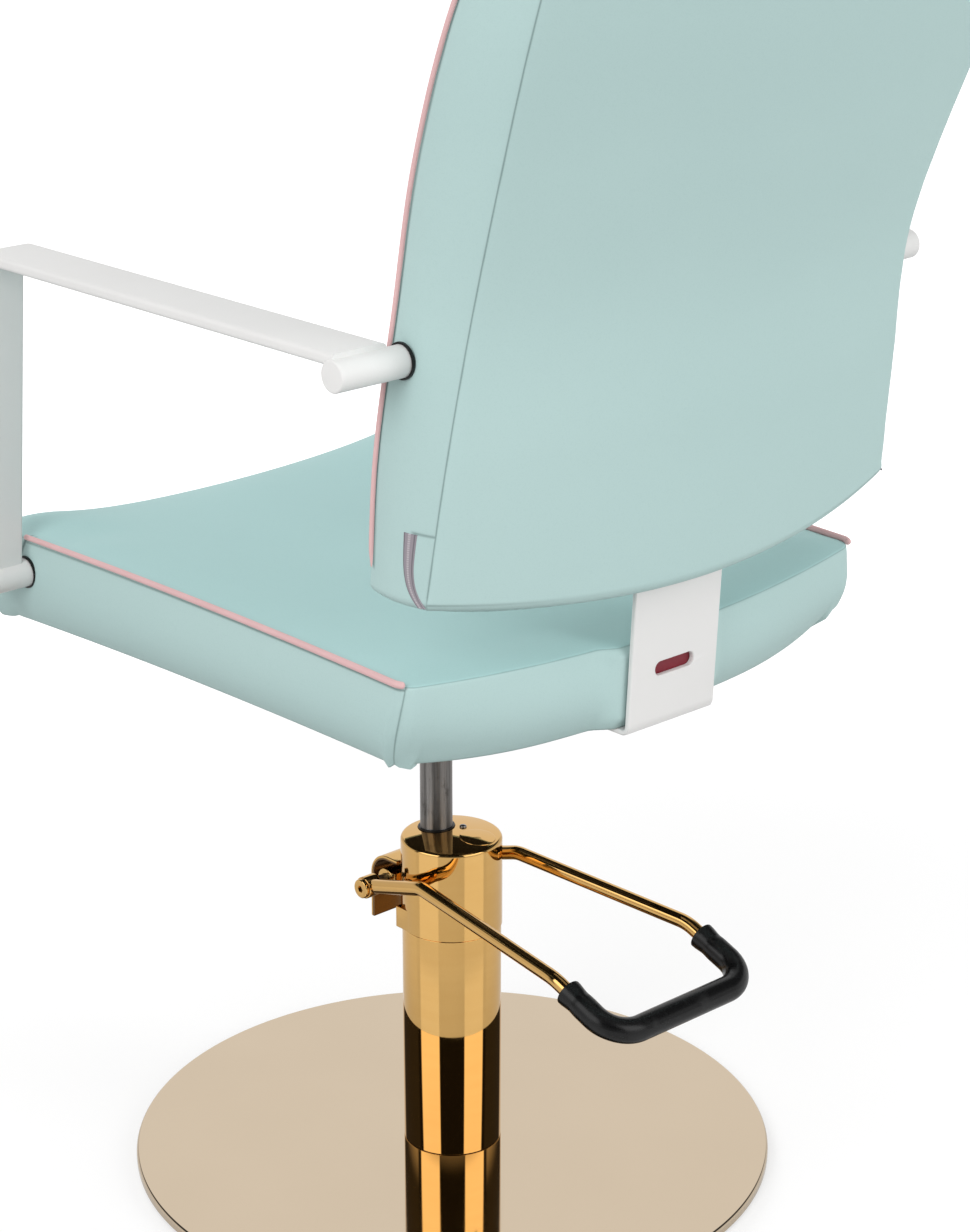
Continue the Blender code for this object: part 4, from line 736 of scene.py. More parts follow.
def champagne_mirror():
    """Paler plating of the base, with hair-fine scratches."""
    paint = new_paint("champagne_mirror")
    cloud = paint.noise(paint.place(), 7.0, 3.0)
    hair = paint.noise(paint.place((40.0, 3.0, 1.0)), 60.0, 2.0)
    paint.set(Base_Color=paint.mix(cloud, (0.665, 0.540, 0.395), (0.705, 0.575, 0.425)), Metallic=1.0,
              Roughness=0.035 + 0.03 * paint.step(hair, 0.55, 0.8) + 0.02 * cloud)
    return paint.owner


def worn_steel():
    """Bare ground rod: rings left by the wiper, streaks and grey smears of oil."""
    paint = new_paint("worn_steel")
    streak = paint.noise(paint.place((260.0, 260.0, 9.0)), 1.0, 4.0, 0.65)
    ring = paint.noise(paint.place((6.0, 6.0, 420.0)), 1.0, 3.0)
    smear = paint.noise(paint.place((1.0, 1.0, 0.5)), 70.0, 5.0, 0.7)
    dirt = paint.step(smear, 0.52, 0.72)
    tone = paint.mix(paint.step(streak, 0.3, 0.75), (0.25, 0.238, 0.228), (0.45, 0.430, 0.415))
    paint.set(Base_Color=paint.mix(0.7 * dirt, tone, (0.16, 0.149, 0.135)), Metallic=1.0,
              Roughness=0.44 + 0.06 * ring + 0.08 * dirt, Anisotropic=1.0, Anisotropic_Rotation=0.25,
              Normal=paint.bump(ring, 0.15, 0.0004))
    return paint.owner


def plain_steel():
    """Bright zinc-grey steel of the small inner pieces."""
    paint = new_paint("plain_steel")
    grain = paint.noise(paint.place(), 240.0, 3.0)
    paint.set(Base_Color=paint.mix(grain, (0.40, 0.40, 0.41), (0.52, 0.52, 0.52)), Metallic=1.0,
              Roughness=0.26 + 0.14 * grain)
    return paint.owner


def dark_steel():
    """Black-painted steel with a fine orange-peel skin and dull scuffs."""
    paint = new_paint("dark_steel")
    peel = paint.noise(paint.place(), 420.0, 2.0)
    scuff = paint.step(paint.noise(paint.place(), 38.0, 4.0), 0.55, 0.75)
    paint.set(Base_Color=paint.mix(scuff, (0.020, 0.020, 0.022), (0.050, 0.049, 0.048)), Metallic=0.0,
              Roughness=0.40 + 0.18 * scuff, Normal=paint.bump(peel, 0.12, 0.0004))
    return paint.owner


def white_powder_coat():
    """White satin powder coat: fine orange peel and a warm white that varies in faint clouds."""
    paint = new_paint("white_powder_coat")
    peel = paint.noise(paint.place(), 520.0, 2.0)
    cloud = paint.noise(paint.place(), 9.0, 3.0)
    paint.set(Base_Color=paint.mix(cloud, (0.755, 0.748, 0.737), (0.815, 0.808, 0.797)), Metallic=0.0,
              Roughness=0.36 + 0.10 * peel, Normal=paint.bump(peel, 0.10, 0.0005))
    return paint.owner


def red_enamel():
    """Dark red paint of the plate behind the bracket's slot."""
    paint = new_paint("red_enamel")
    cloud = paint.noise(paint.place(), 60.0, 3.0)
    paint.set(Base_Color=paint.mix(cloud, (0.15, 0.006, 0.016), (0.22, 0.010, 0.024)), Metallic=0.0,
              Roughness=0.38 + 0.1 * cloud)
    return paint.owner


def mint_leatherette():
    """Soft coated fabric: fine pebble grain, faint stretch creases and thread-dark seams, with painted shadow
    and shade beside some of them; the seat's top takes a bluer lit copy of the mint, which is painted light.
    """
    paint = new_paint("mint_leatherette")
    own = paint.place()
    pebble = paint.cells(own, 900.0)
    crease = paint.noise(paint.place((1.0, 1.0, 1.6)), 85.0, 4.0, 0.6)
    cloud = paint.noise(own, 5.0, 3.0)
    seam = paint.mark("seam")
    sides = paint.mix(cloud, (0.450, 0.612, 0.598), (0.478, 0.640, 0.624))
    # painted light: a bluer, more saturated and lighter copy of the mint for the seat's top, for how the top
    # is lit
    upper = paint.mix(cloud, (0.412, 0.620, 0.612), (0.438, 0.648, 0.640))
    tone_with_painted_light = paint.mix(paint.mark("upper"), sides, upper)
    aged = paint.mix(0.10 * paint.step(pebble, 0.45, 0.9), tone_with_painted_light, (0.30, 0.47, 0.46))
    grain = paint.bump(pebble, 0.12, 0.0003, paint.bump(crease, 0.10, 0.0012))
    # the seam mark darkens stitches, and beside the piping, by the armrest post and in the top's fold it is
    # painted shadow and shade
    paint.set(Base_Color=paint.mix(0.80 * seam, aged, (0.050, 0.085, 0.085)), Metallic=0.0,
              Roughness=0.46 + 0.08 * crease + 0.10 * seam, Specular_IOR_Level=0.12, Normal=grain)
    return paint.owner


def pink_piping():
    """Pink coated cord with a fine pebble grain and a cloudy tone."""
    paint = new_paint("pink_piping")
    own = paint.place()
    pebble = paint.cells(own, 1100.0)
    cloud = paint.noise(own, 30.0, 3.0)
    paint.set(Base_Color=paint.mix(cloud, (0.70, 0.428, 0.428), (0.78, 0.505, 0.505)), Metallic=0.0,
              Roughness=0.48 + 0.08 * cloud, Normal=paint.bump(pebble, 0.12, 0.0003))
    return paint.owner


def zip_tape():
    """Mauve-grey zip: woven tape, a paler coil of teeth down the middle and stitched edges."""
    paint = new_paint("zip_tape")
    across = paint.mark("across")
    run = paint.mark("run")
    teeth = paint.step(paint.make("ShaderNodeMath", {"operation": "SINE"}, {0: run * 3600.0}), -0.3, 0.5)
    coil = 1.0 - paint.step(abs(across), 0.16, 0.26)
    edge = paint.step(abs(across), 0.62, 0.72) * (1.0 - paint.step(abs(across), 0.80, 0.90))
    tape = paint.mix(0.7 * edge, (0.30, 0.27, 0.30), (0.10, 0.095, 0.11))
    tone = paint.mix(coil * (0.45 + 0.55 * teeth), tape, (0.52, 0.48, 0.51))
    paint.set(Base_Color=tone, Metallic=0.0, Roughness=0.62 - 0.2 * coil,
              Normal=paint.bump(coil * teeth, 0.5, 0.0004))
    return paint.owner


def black_rubber():
    """Moulded rubber sleeve: near black, dull, with dusty rubbed patches."""
    paint = new_paint("black_rubber")
    own = paint.place()
    rub = paint.step(paint.noise(own, 55.0, 4.0, 0.6), 0.50, 0.75)
    pore = paint.noise(own, 700.0, 2.0)
    paint.set(Base_Color=paint.mix(rub, (0.0040, 0.0040, 0.0042), (0.009, 0.009, 0.0092)), Metallic=0.0,
              Roughness=0.26 + 0.16 * rub, Specular_IOR_Level=0.35, Normal=paint.bump(pore, 0.08, 0.0004))
    return paint.owner


def plywood():
    """Bare birch plywood: long wavy grain with darker late wood."""
    paint = new_paint("plywood")
    along = paint.place((1.0, 0.12, 1.0))
    wave = paint.make("ShaderNodeTexWave", {"bands_direction": 'X'},
                      {"Vector": along, "Scale": 26.0, "Distortion": 5.0, "Detail": 3.0})
    fibre = paint.noise(paint.place((160.0, 8.0, 160.0)), 1.0, 3.0)
    tone = paint.mix(wave, (0.50, 0.345, 0.20), (0.60, 0.43, 0.265))
    paint.set(Base_Color=paint.mix(0.35 * fibre, tone, (0.34, 0.21, 0.11)), Metallic=0.0,
              Roughness=0.58 + 0.14 * fibre, Normal=paint.bump(fibre, 0.2, 0.0004))
    return paint.owner


def black_cover_and_shade():
    """Black lining stapled under the seat, matt bonded fibres; its black is also painted shade, standing for
    the shade under the seat that the plated head mirrors.
    """
    paint = new_paint("black_cover_and_shade")
    fibre = paint.noise(paint.place(), 900.0, 4.0, 0.7)
    cloud = paint.noise(paint.place(), 14.0, 3.0)
    paint.set(Base_Color=paint.mix(0.6 * fibre + 0.3 * cloud, (0.012, 0.012, 0.013), (0.035, 0.034, 0.034)),
              Metallic=0.0, Roughness=0.80 + 0.15 * fibre, Specular_IOR_Level=0.2,
              Normal=paint.bump(fibre, 0.2, 0.0004))
    return paint.owner


GOLD = gold_mirror()
HOOD = hood_gold_painted_shade()
CHAMPAGNE = champagne_mirror()
ROD_STEEL = worn_steel()
STEEL = plain_steel()
DARK = dark_steel()
WHITE = white_powder_coat()
RED = red_enamel()
MINT = mint_leatherette()
PINK = pink_piping()
ZIP = zip_tape()
RUBBER = black_rubber()
PLY = plywood()
LINING = black_cover_and_shade()


# Base and pump

def base_dish():
    """Plated dish: a flat ring with a rounded rim turned down to the floor, open below."""
    inside = BASE_RADIUS - DISH_WALL
    ceiling = BASE_TOP - DISH_WALL
    rim = rounded_path([(BASE_HOLE, BASE_TOP), (BASE_RADIUS, BASE_TOP), (BASE_RADIUS, BASE_UNDERSIDE),
                        (inside, BASE_UNDERSIDE), (inside, ceiling), (BASE_HOLE, ceiling)],
                       [BASE_EDGE_ROUND, BASE_LIP_ROUND, BASE_LIP_ROUND, BASE_INNER_ROUND], 10)
    flat = np.array([(BASE_RADIUS - BASE_EDGE_ROUND - RIM_FLAT, BASE_TOP)])
    profile = np.concatenate([rim[:1], flat, rim[1:]])
    return piece("base_dish", [skin(turned(profile, segments=320), around=True, along=True)], CHAMPAGNE,
                 "base", ["base_cover"])


def column_tube():
    """Plated tube with a small chamfer at each end."""
    low, high = BASE_TOP + FIT, HEAD_BOTTOM - FIT
    corners = [(COLUMN_INNER, low), (COLUMN_RADIUS, low), (COLUMN_RADIUS, high), (COLUMN_INNER, high)]
    profile = softened(corners, JOINT_CHAMFER, 4)
    return piece("column_tube", [skin(turned(profile, segments=256), around=True, along=True)], GOLD,
                 "base", ["column_cover"])


def crowned(grid):
    """Points above the head raised by its low crown, which falls away to the rim."""
    out = (grid[..., 0] ** 2 + grid[..., 1] ** 2) / HEAD_RADIUS ** 2
    raised = grid.copy()
    above = grid[..., 2] > HEAD_TOP - 2.0 * LIP_DEPTH
    raised[..., 2] += HEAD_CROWN * np.clip(1.0 - out, 0.0, None) * above
    return raised


def head_body():
    """Rings of the head's round body and crowned top, whose middle moves to the rod for the lip and bore."""
    chamfer = JOINT_CHAMFER
    rim = rounded_path([(HEAD_RADIUS, HEAD_BOTTOM + chamfer), (HEAD_RADIUS, HEAD_TOP), (0.0, HEAD_TOP)],
                       [HEAD_EDGE_ROUND], 12)[:-1]
    outer = np.concatenate([[(HEAD_RADIUS - chamfer, HEAD_BOTTOM)], rim,
                            [(HEAD_RADIUS - HEAD_EDGE_ROUND - RIM_FLAT, HEAD_TOP)]])
    lip = rounded_path([(WIPER_OUTER, HEAD_TOP), (LIP_INNER, HEAD_TOP), (LIP_INNER, HEAD_TOP - LIP_DEPTH)],
                       [LIP_ROUND], 5)
    groove = (WIPER_OUTER, HEAD_TOP - LIP_DEPTH - LIP_SLOPE)
    bore = np.concatenate([lip, [groove, (WIPER_OUTER, HEAD_BOTTOM)]])
    share = np.linspace(0.0, 1.0, 24)[1:-1]
    radius = outer[-1, 0] + share * (WIPER_OUTER - outer[-1, 0])
    top = np.stack([radius, np.full(len(share), HEAD_TOP)], axis=-1)
    grid = turned(np.concatenate([outer, top, bore]), segments=256)
    middle = np.concatenate([np.zeros(len(outer)), share * ROD_Y, np.full(len(bore), ROD_Y)])
    grid[..., 1] += middle[:, None]
    return skin(crowned(grid), around=True, along=True)


def head_casting():
    """Cast head with its cheeks and lever barrel, cut out for the cam, the plunger and the shaft."""
    head = piece("head_casting", [head_body()], GOLD, None)
    cheeks = rounded_block((-CHEEK_HALF_WIDTH, -CHEEK_REACH, HEAD_BOTTOM + FIT),
                           (CHEEK_HALF_WIDTH, 0.0, HEAD_BOTTOM + CHEEK_HEIGHT), CHEEK_ROUND)
    bosses = [skin(cheeks, around=True)]
    for _, side in LEFT_AND_RIGHT:
        ends = np.array([POCKET_HALF_WIDTH, BARREL_HALF_LENGTH]) * side
        profile = rounded_path([(HUB_RADIUS, ends[0]), (BARREL_RADIUS, ends[0]), (BARREL_RADIUS, ends[1]),
                                (HUB_RADIUS, ends[1])], BARREL_ROUNDS, 5)
        bosses.append(skin(turned(profile, 'X', PIVOT, 72), around=True))
        low = (min(ends) + WEB_INSET, PIVOT[0], PIVOT[1] - WEB_HALF_HEIGHT)
        high = (max(ends) - WEB_INSET, WEB_REAR, PIVOT[1] + WEB_HALF_HEIGHT)
        bosses.append(skin(rounded_block(low, high, WEB_ROUND), around=True))
    combine(head, 'UNION', [piece("boss", [boss], GOLD, None) for boss in bosses])
    pocket = rounded_block((-POCKET_HALF_WIDTH, POCKET_FRONT, POCKET_LOW),
                           (POCKET_HALF_WIDTH, POCKET_BACK, POCKET_HIGH), POCKET_ROUND)
    plunger_line = [(PLUNGER_BORE, PLUNGER_FLOOR), (PLUNGER_BORE, PIVOT[1])]
    plunger_bore = turned(plunger_line, 'Z', (0.0, PLUNGER_Y), 48)
    shaft_line = [(SHAFT_RADIUS + FIT, -SHAFT_BORE_REACH), (SHAFT_RADIUS + FIT, SHAFT_BORE_REACH)]
    shaft_bore = turned(shaft_line, 'X', PIVOT, 48)
    combine(head, 'DIFFERENCE', [piece("hollow", [skin(tool, around=True)], GOLD, None)
                                 for tool in (pocket, plunger_bore, shaft_bore)])
    dress(head, GOLD, CUT_CREASE)
    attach(head, "base")
    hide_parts("pump_head")
    return head


def rod_wiper():
    """Wiper ring round the rod: held under the head's lip, its neck stands out above it."""
    low, high = HEAD_TOP - WIPER_DEPTH, HEAD_TOP - LIP_DEPTH - WIPER_GAP
    outer = WIPER_OUTER - FIT
    profile = softened([(WIPER_INNER, low), (outer, low), (outer, high), (WIPER_NECK, high),
                        (WIPER_NECK, WIPER_TOP), (WIPER_INNER, WIPER_TOP)], WIPER_ROUND, 4)
    grid = crowned(turned(profile, 'Z', (0.0, ROD_Y), 128))
    return piece("rod_wiper", [skin(grid, around=True, along=True)], RUBBER,
                 "base", ["rod_seal"])


def filler_plug():
    """Filler plug: a low dome with a rolled edge."""
    inner = PLUG_RADIUS * PLUG_EDGE_SHARE
    crown = HEAD_TOP + PLUG_DOME
    edge = rounded_path([(PLUG_RADIUS, HEAD_TOP - PLUG_DEPTH), (PLUG_RADIUS, HEAD_TOP + PLUG_EDGE_HEIGHT),
                         (inner, crown - PLUG_DOME_FALL)], [PLUG_EDGE_ROUND], 6)
    radius = np.linspace(inner, PLUG_HUB, 14)[1:]
    dome = np.stack([radius, crown - PLUG_DOME_FALL * (radius / inner) ** 2], axis=-1)
    grid = crowned(turned(np.concatenate([edge, dome]), 'Z', PLUG_PLACE, 128))
    return piece("filler_plug", [skin(grid, around=True)], GOLD, "base", ["head_plug"])


def bleed_screw():
    """Small screw with a round head."""
    seat = HEAD_TOP + FIT
    turn = np.linspace(0.0, math.pi / 2.0, 8)[:-1]
    dome = np.stack([BLEED_RADIUS * np.cos(turn), seat + BLEED_EDGE + BLEED_DOME * np.sin(turn)], axis=-1)
    shank = [(BLEED_SHANK_RADIUS, HEAD_TOP - BLEED_DEPTH), (BLEED_SHANK_RADIUS, seat), (BLEED_RADIUS, seat)]
    profile = np.concatenate([shank, dome])
    grid = crowned(turned(profile, 'Z', BLEED_PLACE, 48))
    return piece("bleed_screw_head", [skin(grid, around=True)], STEEL, "base", ["bleed_screw"])


def lever_hood():
    """Bent plate carried from the head over the barrel and down before it, with eased edges."""
    turn = np.linspace(math.pi / 2.0, math.pi, 28)
    roll = np.stack([PIVOT[0] + HOOD_RADIUS * np.cos(turn), PIVOT[1] + HOOD_RADIUS * np.sin(turn)], axis=-1)
    rear = (HOOD_REAR, PIVOT[1] + HOOD_RADIUS)
    front = (PIVOT[0] - HOOD_RADIUS, HOOD_BOTTOM)
    path = np.concatenate([[rear], roll, [front]])
    straight = lengths(path)[-1] - HOOD_EDGE
    bend = QUARTER_TURN[1:]
    places = np.concatenate([np.linspace(0.0, straight, HOOD_ROWS), straight + HOOD_EDGE * np.sin(bend)])
    inset = np.concatenate([np.zeros(HOOD_ROWS), HOOD_EDGE * (1.0 - np.cos(bend))])
    outline = bar_outline(HOOD_THICKNESS / 2.0, HOOD_HALF_WIDTH, HOOD_EDGE, inset)
    grid = carried(side_line(path, places), outline, ACROSS)
    # the inside mark tells the finish where to paint shade: on the inner face of the bend
    marks = {"inside": with_hubs(outline[..., 0] < 0.0)}
    return piece("hood_plate", [skin(grid, around=True)], HOOD, "base", ["lever_hood"],
                 marks=marks)


# Foot lever

def return_spring():
    """Round wire with a flat turn at each end, as high as the CAD spring."""
    low, high = (np.array(corner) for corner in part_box("plunger_spring"))
    share = np.linspace(0.0, 1.0, SPRING_STEPS)
    rise = np.clip((share * SPRING_TURNS - SPRING_FLAT) / (SPRING_TURNS - 2.0 * SPRING_FLAT), 0.0, 1.0)
    turn = 2.0 * math.pi * SPRING_TURNS * share
    middle = (low + high) / 2.0
    radius = (high[0] - low[0]) / 2.0 - SPRING_WIRE
    height = low[2] + SPRING_WIRE + rise * (high[2] - low[2] - 2.0 * SPRING_WIRE)
    path = np.stack([middle[0] + radius * np.cos(turn), middle[1] + radius * np.sin(turn), height], axis=-1)
    wire = carried(path, rounds_of(SPRING_WIRE, 10), UP)
    spring = piece("return_spring", [skin(wire, around=True)], STEEL, "base",
                   ["plunger_spring"])
    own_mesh(spring)


def lever_line():
    """Centre line of the U-shaped bar from the left eye round to the right eye, with its running length."""
    left = np.array(LEVER_CORNERS)
    right = left[::-1] * (-1.0, 1.0, 1.0)
    path = rounded_path(np.concatenate([left, right]), LEVER_ROUNDS + LEVER_ROUNDS[::-1], 24)
    return path, lengths(path)


def lever_tube():
    """U-shaped bar with a round eye at each end."""
    path, run = lever_line()
    line = along_path(path, np.linspace(0.0, run[-1], 420))
    bar = carried(line, rounds_of(np.full(len(line), BAR_RADIUS), 32), UP)
    shells = [skin(bar, around=True)]
    bore = SHAFT_RADIUS + FIT
    for _, side in LEFT_AND_RIGHT:
        ends = np.array([EYE_INNER_X, EYE_OUTER_X]) * side
        ring = softened([(bore, ends[0]), (EYE_RADIUS, ends[0]), (EYE_RADIUS, ends[1]), (bore, ends[1])],
                        EYE_ROUND, 5)
        shells.append(skin(turned(ring, 'X', PIVOT, 96), around=True, along=True))
    return piece("lever_tube", shells, GOLD, "lever", ["lever_bar"])


def grip_sleeve():
    """Rubber sleeve round the crossbar: flared cut ends, thinner where it is stretched round the corners."""
    path, run = lever_line()
    covered = np.flatnonzero(path[:, 1] > GRIP_START_Y)
    first = covered[0]
    share = (GRIP_START_Y - path[first - 1, 1]) / (path[first, 1] - path[first - 1, 1])
    start = run[first - 1] + share * (run[first] - run[first - 1])
    stop = run[-1] - start
    places = np.linspace(start, stop, 420)
    gap = np.minimum(places - start, stop - places)
    radius = GRIP_RADIUS + sum(height * ridge(gap - way, width) for height, way, width in GRIP_SWELLS)
    lip = len(QUARTER_TURN)
    thinner = GRIP_LIP * (1.0 - np.sin(QUARTER_TURN))
    further = GRIP_LIP * (1.0 - np.cos(QUARTER_TURN))
    radius[:lip] -= thinner
    radius[-lip:] -= thinner[::-1]
    places[:lip] = start + further
    places[-lip:] = stop - further[::-1]
    inside = np.linspace(start, stop, 200)
    outer = carried(along_path(path, places), rounds_of(radius, 40), UP)
    bore = carried(along_path(path, inside), rounds_of(np.full(len(inside), BAR_RADIUS + FIT), 40), UP)
    return piece("grip_sleeve", [skin(np.concatenate([outer, bore[::-1]]), around=True, along=True)], RUBBER,
                 "lever", ["lever_grip"])


def lever_bolt(word, side):
    """Bolt with a round head and a six-sided socket: the socket's radius follows a hexagon round the turn."""
    shank = [(BOLT_SHANK_RADIUS, BOLT_FOOT_X), (BOLT_SHANK_RADIUS, BOLT_SEAT_X)]
    head = [(BOLT_HEAD_RADIUS, BOLT_SEAT_X), (BOLT_HEAD_RADIUS, BOLT_END_X), (BOLT_SOCKET_RIM, BOLT_END_X)]
    outer = rounded_path(shank + head, BOLT_ROUNDS, 6)
    segments = 96
    turn = np.arange(segments) * 2.0 * math.pi / segments
    hexagon = BOLT_SOCKET_FLAT / np.cos((turn % (math.pi / 3.0)) - math.pi / 6.0)
    rounds = np.broadcast_to(outer[:, :1], (len(outer), segments))
    radius = np.concatenate([rounds, hexagon[None], hexagon[None]])
    place = np.concatenate([outer[:, 1], [BOLT_END_X - BOLT_SOCKET_EASE, BOLT_END_X - BOLT_SOCKET_DEPTH]])
    x = np.broadcast_to(side * place[:, None], radius.shape)
    grid = np.stack([x, PIVOT[0] + radius * np.cos(turn), PIVOT[1] + radius * np.sin(turn)], axis=-1)
    return piece(f"lever_bolt_head_{word}", [skin(grid, around=True)], GOLD,
                 "lever", [f"lever_bolt_{word}"])


# Rod and seat plate

def ram_rod():
    """Bare rod with a small chamfer at each end."""
    corners = [(HUB_RADIUS, ROD_FOOT), (ROD_RADIUS, ROD_FOOT), (ROD_RADIUS, ROD_HEAD), (HUB_RADIUS, ROD_HEAD)]
    profile = rounded_path(corners, [ROD_CHAMFER, ROD_CHAMFER], 4)
    return piece("ram_rod", [skin(turned(profile, 'Z', (0.0, ROD_Y), 128), around=True)], ROD_STEEL,
                 "seat", ["piston_rod"])


def plate_and_socket():
    """Seat plate with eased edges, and the cone below it that takes the rod."""
    sine = PLATE_EDGE * (1.0 - np.sin(QUARTER_TURN))
    cosine = PLATE_EDGE * (1.0 - np.cos(QUARTER_TURN))
    inset = np.concatenate([sine, cosine])
    height = np.concatenate([PLATE_BOTTOM + cosine, PLATE_TOP - sine])
    plan = bar_outline(PLATE_HALF_WIDTH, PLATE_HALF_DEPTH, PLATE_CORNER, inset, 12)
    plan[..., 1] += ROD_Y
    slab = np.concatenate([plan, np.broadcast_to(height[:, None, None], (*plan.shape[:2], 1))], axis=-1)
    bore = ROD_RADIUS + FIT
    root = PLATE_BOTTOM + SOCKET_OVERLAP
    cone = softened([(bore, SOCKET_BOTTOM), (SOCKET_BOTTOM_RADIUS, SOCKET_BOTTOM), (SOCKET_TOP_RADIUS, root),
                     (bore, root)], SOCKET_ROUND, 5)
    shells = [skin(slab, around=True), skin(turned(cone, 'Z', (0.0, ROD_Y), 128), around=True, along=True)]
    return piece("plate_and_socket", shells, DARK, "seat", ["seat_plate"])


# Seat pad

CORNER_STEPS = 25
FRONT_RUN_STEPS = 40
REAR_RUN_STEPS = 100
RUN_STEPS = FRONT_RUN_STEPS + REAR_RUN_STEPS - 1
SEAT_COLUMNS = CORNER_STEPS + RUN_STEPS

# Shares of the way from the middle of the seat's top out to the seam
TOP_ROWS = 1.0 - np.concatenate([(1.0 - np.linspace(0.03, 0.985, 46)) ** 1.25,
                                 [0.006, 0.004, 0.0022, 0.001, 0.0]])

# Shares of the way from the seam down to the lower edge, and rows of the hem that fades from it to the board
SIDE_ROWS = np.concatenate([[0.007, 0.014, 0.024, 0.04], np.linspace(0.065, 0.93, 26), [0.955, 0.978, 1.0]])
HEM_ROWS = 5
HEM_FADE = np.linspace(1.0, 0.0, HEM_ROWS + 1)[1:]
SEAT_CENTRE = np.array([0.0, SEAT_MIDDLE])


def crowded(count):
    """Shares from -1 to 1 that lie closer together towards both ends."""
    even = np.linspace(-1.0, 1.0, count)
    return even * (1.36 - 0.36 * even ** 2)


def side_shares():
    """Shares of the way along a side of the seat from front to rear, crowded about the front seam."""
    start = SEAT_FRONT + SEAT_FRONT_CORNER
    seam = (FRONT_SEAM_Y - start) / (SEAT_REAR - SEAT_REAR_CORNER - start)
    before = np.linspace(0.0, 1.0, FRONT_RUN_STEPS + 1)[1:]
    after = np.linspace(0.0, 1.0, REAR_RUN_STEPS + 1)[1:-1]
    return np.concatenate([seam * (1.0 - (1.0 - before) ** 1.2), seam + (1.0 - seam) * eased(after)])


def forward_share(y):
    """How far a place lies from the seat's middle towards its front, from 0 to 1."""
    return np.clip((SEAT_MIDDLE - y) / (SEAT_MIDDLE - SEAT_FRONT), 0.0, 1.0)


def seat_plan(inset, undercut=0.0):
    """Seat outlines drawn in by each inset: a rounded rectangle whose rear is bowed.

    The undercut draws the rear corners further forward, as at the lower edge. Each outline has four
    parts of as many points, a corner arc and the straight run after it: rear, right, front and left.
    """
    inset = np.atleast_1d(inset)[:, None]
    undercut = np.atleast_1d(undercut)[:, None]
    at_rear = np.array([True, True, False, False])
    sign = np.array([1, -1, -1, 1])
    corner = np.where(at_rear, SEAT_REAR_CORNER, SEAT_FRONT_CORNER)
    radius = np.maximum(corner - inset, SEAT_REAR_CORNER / 3.0)
    middle_x = sign * (SEAT_HALF_WIDTH - inset - radius)
    middle_y = np.where(at_rear, SEAT_REAR - inset - radius, SEAT_FRONT + inset + radius)
    turn = (np.arange(4)[:, None] * 0.5 + np.linspace(0.0, 0.5, CORNER_STEPS)) * math.pi
    arcs = np.stack([middle_x[..., None] + radius[..., None] * np.cos(turn),
                     middle_y[..., None] + radius[..., None] * np.sin(turn)], axis=-1)
    ends = 0.5 + 0.5 * crowded(RUN_STEPS + 2)[1:-1]
    sides = side_shares()
    share = np.stack([ends, 1.0 - sides[::-1], ends, sides])[..., None]
    start = arcs[:, :, -1:]
    runs = start + share * (np.roll(arcs[:, :, :1], -1, axis=1) - start)
    plan = np.concatenate([arcs, runs], axis=2).reshape(len(inset), -1, 2)
    x, y = plan[..., 0], plan[..., 1]
    across = (x / SEAT_HALF_WIDTH) ** 2
    rearward = np.clip((y - SEAT_MIDDLE) / (SEAT_REAR - SEAT_MIDDLE), 0.0, 1.0)
    return np.stack([x, y - (SEAT_REAR_BOW + undercut) * across * rearward ** 2], axis=-1)


def front_roll(y):
    """How far the seat has rolled over its front edge, from 0 to 1."""
    return np.clip((FRONT_ROLL_START - y) / (FRONT_ROLL_START - SEAT_FRONT), 0.0, 1.0) ** 2


def seat_top(x, y):
    """Height of the seat's top: dished across its width, more so towards the rolled front, whose
    corners are puffed up."""
    drop = FRONT_ROLL_TOP_SHARE * FRONT_ROLL_DROP * front_roll(y)
    dish = SEAT_DISH * (1.0 + FRONT_SCOOP * forward_share(y) ** 2)
    ahead = np.clip((FRONT_PUFF_START - y) / FRONT_PUFF_LENGTH, 0.0, 1.0)
    puff = FRONT_PUFF * eased(ahead)
    return SEAT_TOP + dish * (x / SEAT_HALF_WIDTH) ** 2 + puff * (x / SEAT_HALF_WIDTH) ** 4 - drop


def seat_seam(x, y):
    """Height of the seam round the seat's top: higher at the sides, crowned along them."""
    across = (x / SEAT_HALF_WIDTH) ** 2
    along = np.clip((y - SEAT_MIDDLE) / (SEAT_REAR - SEAT_MIDDLE), -1.0, 1.0) ** 2
    return SEAM_HEIGHT + across * (SEAM_RISE + SEAM_CROWN * (1.0 - along)) - FRONT_ROLL_DROP * front_roll(y)


def seat_underside(x, y):
    """Height of the seat's underside: flat in the middle, curving up to the sides, hanging in front."""
    side = np.clip((np.abs(x) / SEAT_HALF_WIDTH - UNDERSIDE_FLAT) / (1.0 - UNDERSIDE_FLAT), 0.0, None) ** 2
    along = 1.0 - ((y - UNDERSIDE_PEAK_Y) / UNDERSIDE_REACH) ** 2
    level = eased(np.clip((UNDERSIDE_FRONT_START - y) / UNDERSIDE_FRONT_LENGTH, 0.0, 1.0))
    rise = side * (UNDERSIDE_RISE + UNDERSIDE_SIDE_RISE * along)
    return SEAT_UNDERSIDE + rise * (1.0 - level) - FRONT_HANG * level


def lifted(plan, height):
    """Plan points lifted to their heights."""
    return np.concatenate([plan, np.broadcast_to(height, plan.shape[:2])[..., None]], axis=-1)


def rear_corner_gap(run):
    """Signed way along the seat's edge from its nearest rear corner: positive along the rear."""
    whole = run[-1] + run[1]
    corners = run[[CORNER_STEPS // 2, SEAT_COLUMNS + CORNER_STEPS // 2]]
    way = (run - corners[:, None] + whole / 2.0) % whole - whole / 2.0
    way[1] *= -1.0
    return np.where(np.abs(way[0]) < np.abs(way[1]), way[0], way[1])


def ear(way, peak, end):
    """A fold at a corner: it grows up to its peak and ends short beyond it."""
    return np.minimum(np.clip(way / peak, 0.0, 1.0), np.clip((end - way) / (end - peak), 0.0, 1.0))


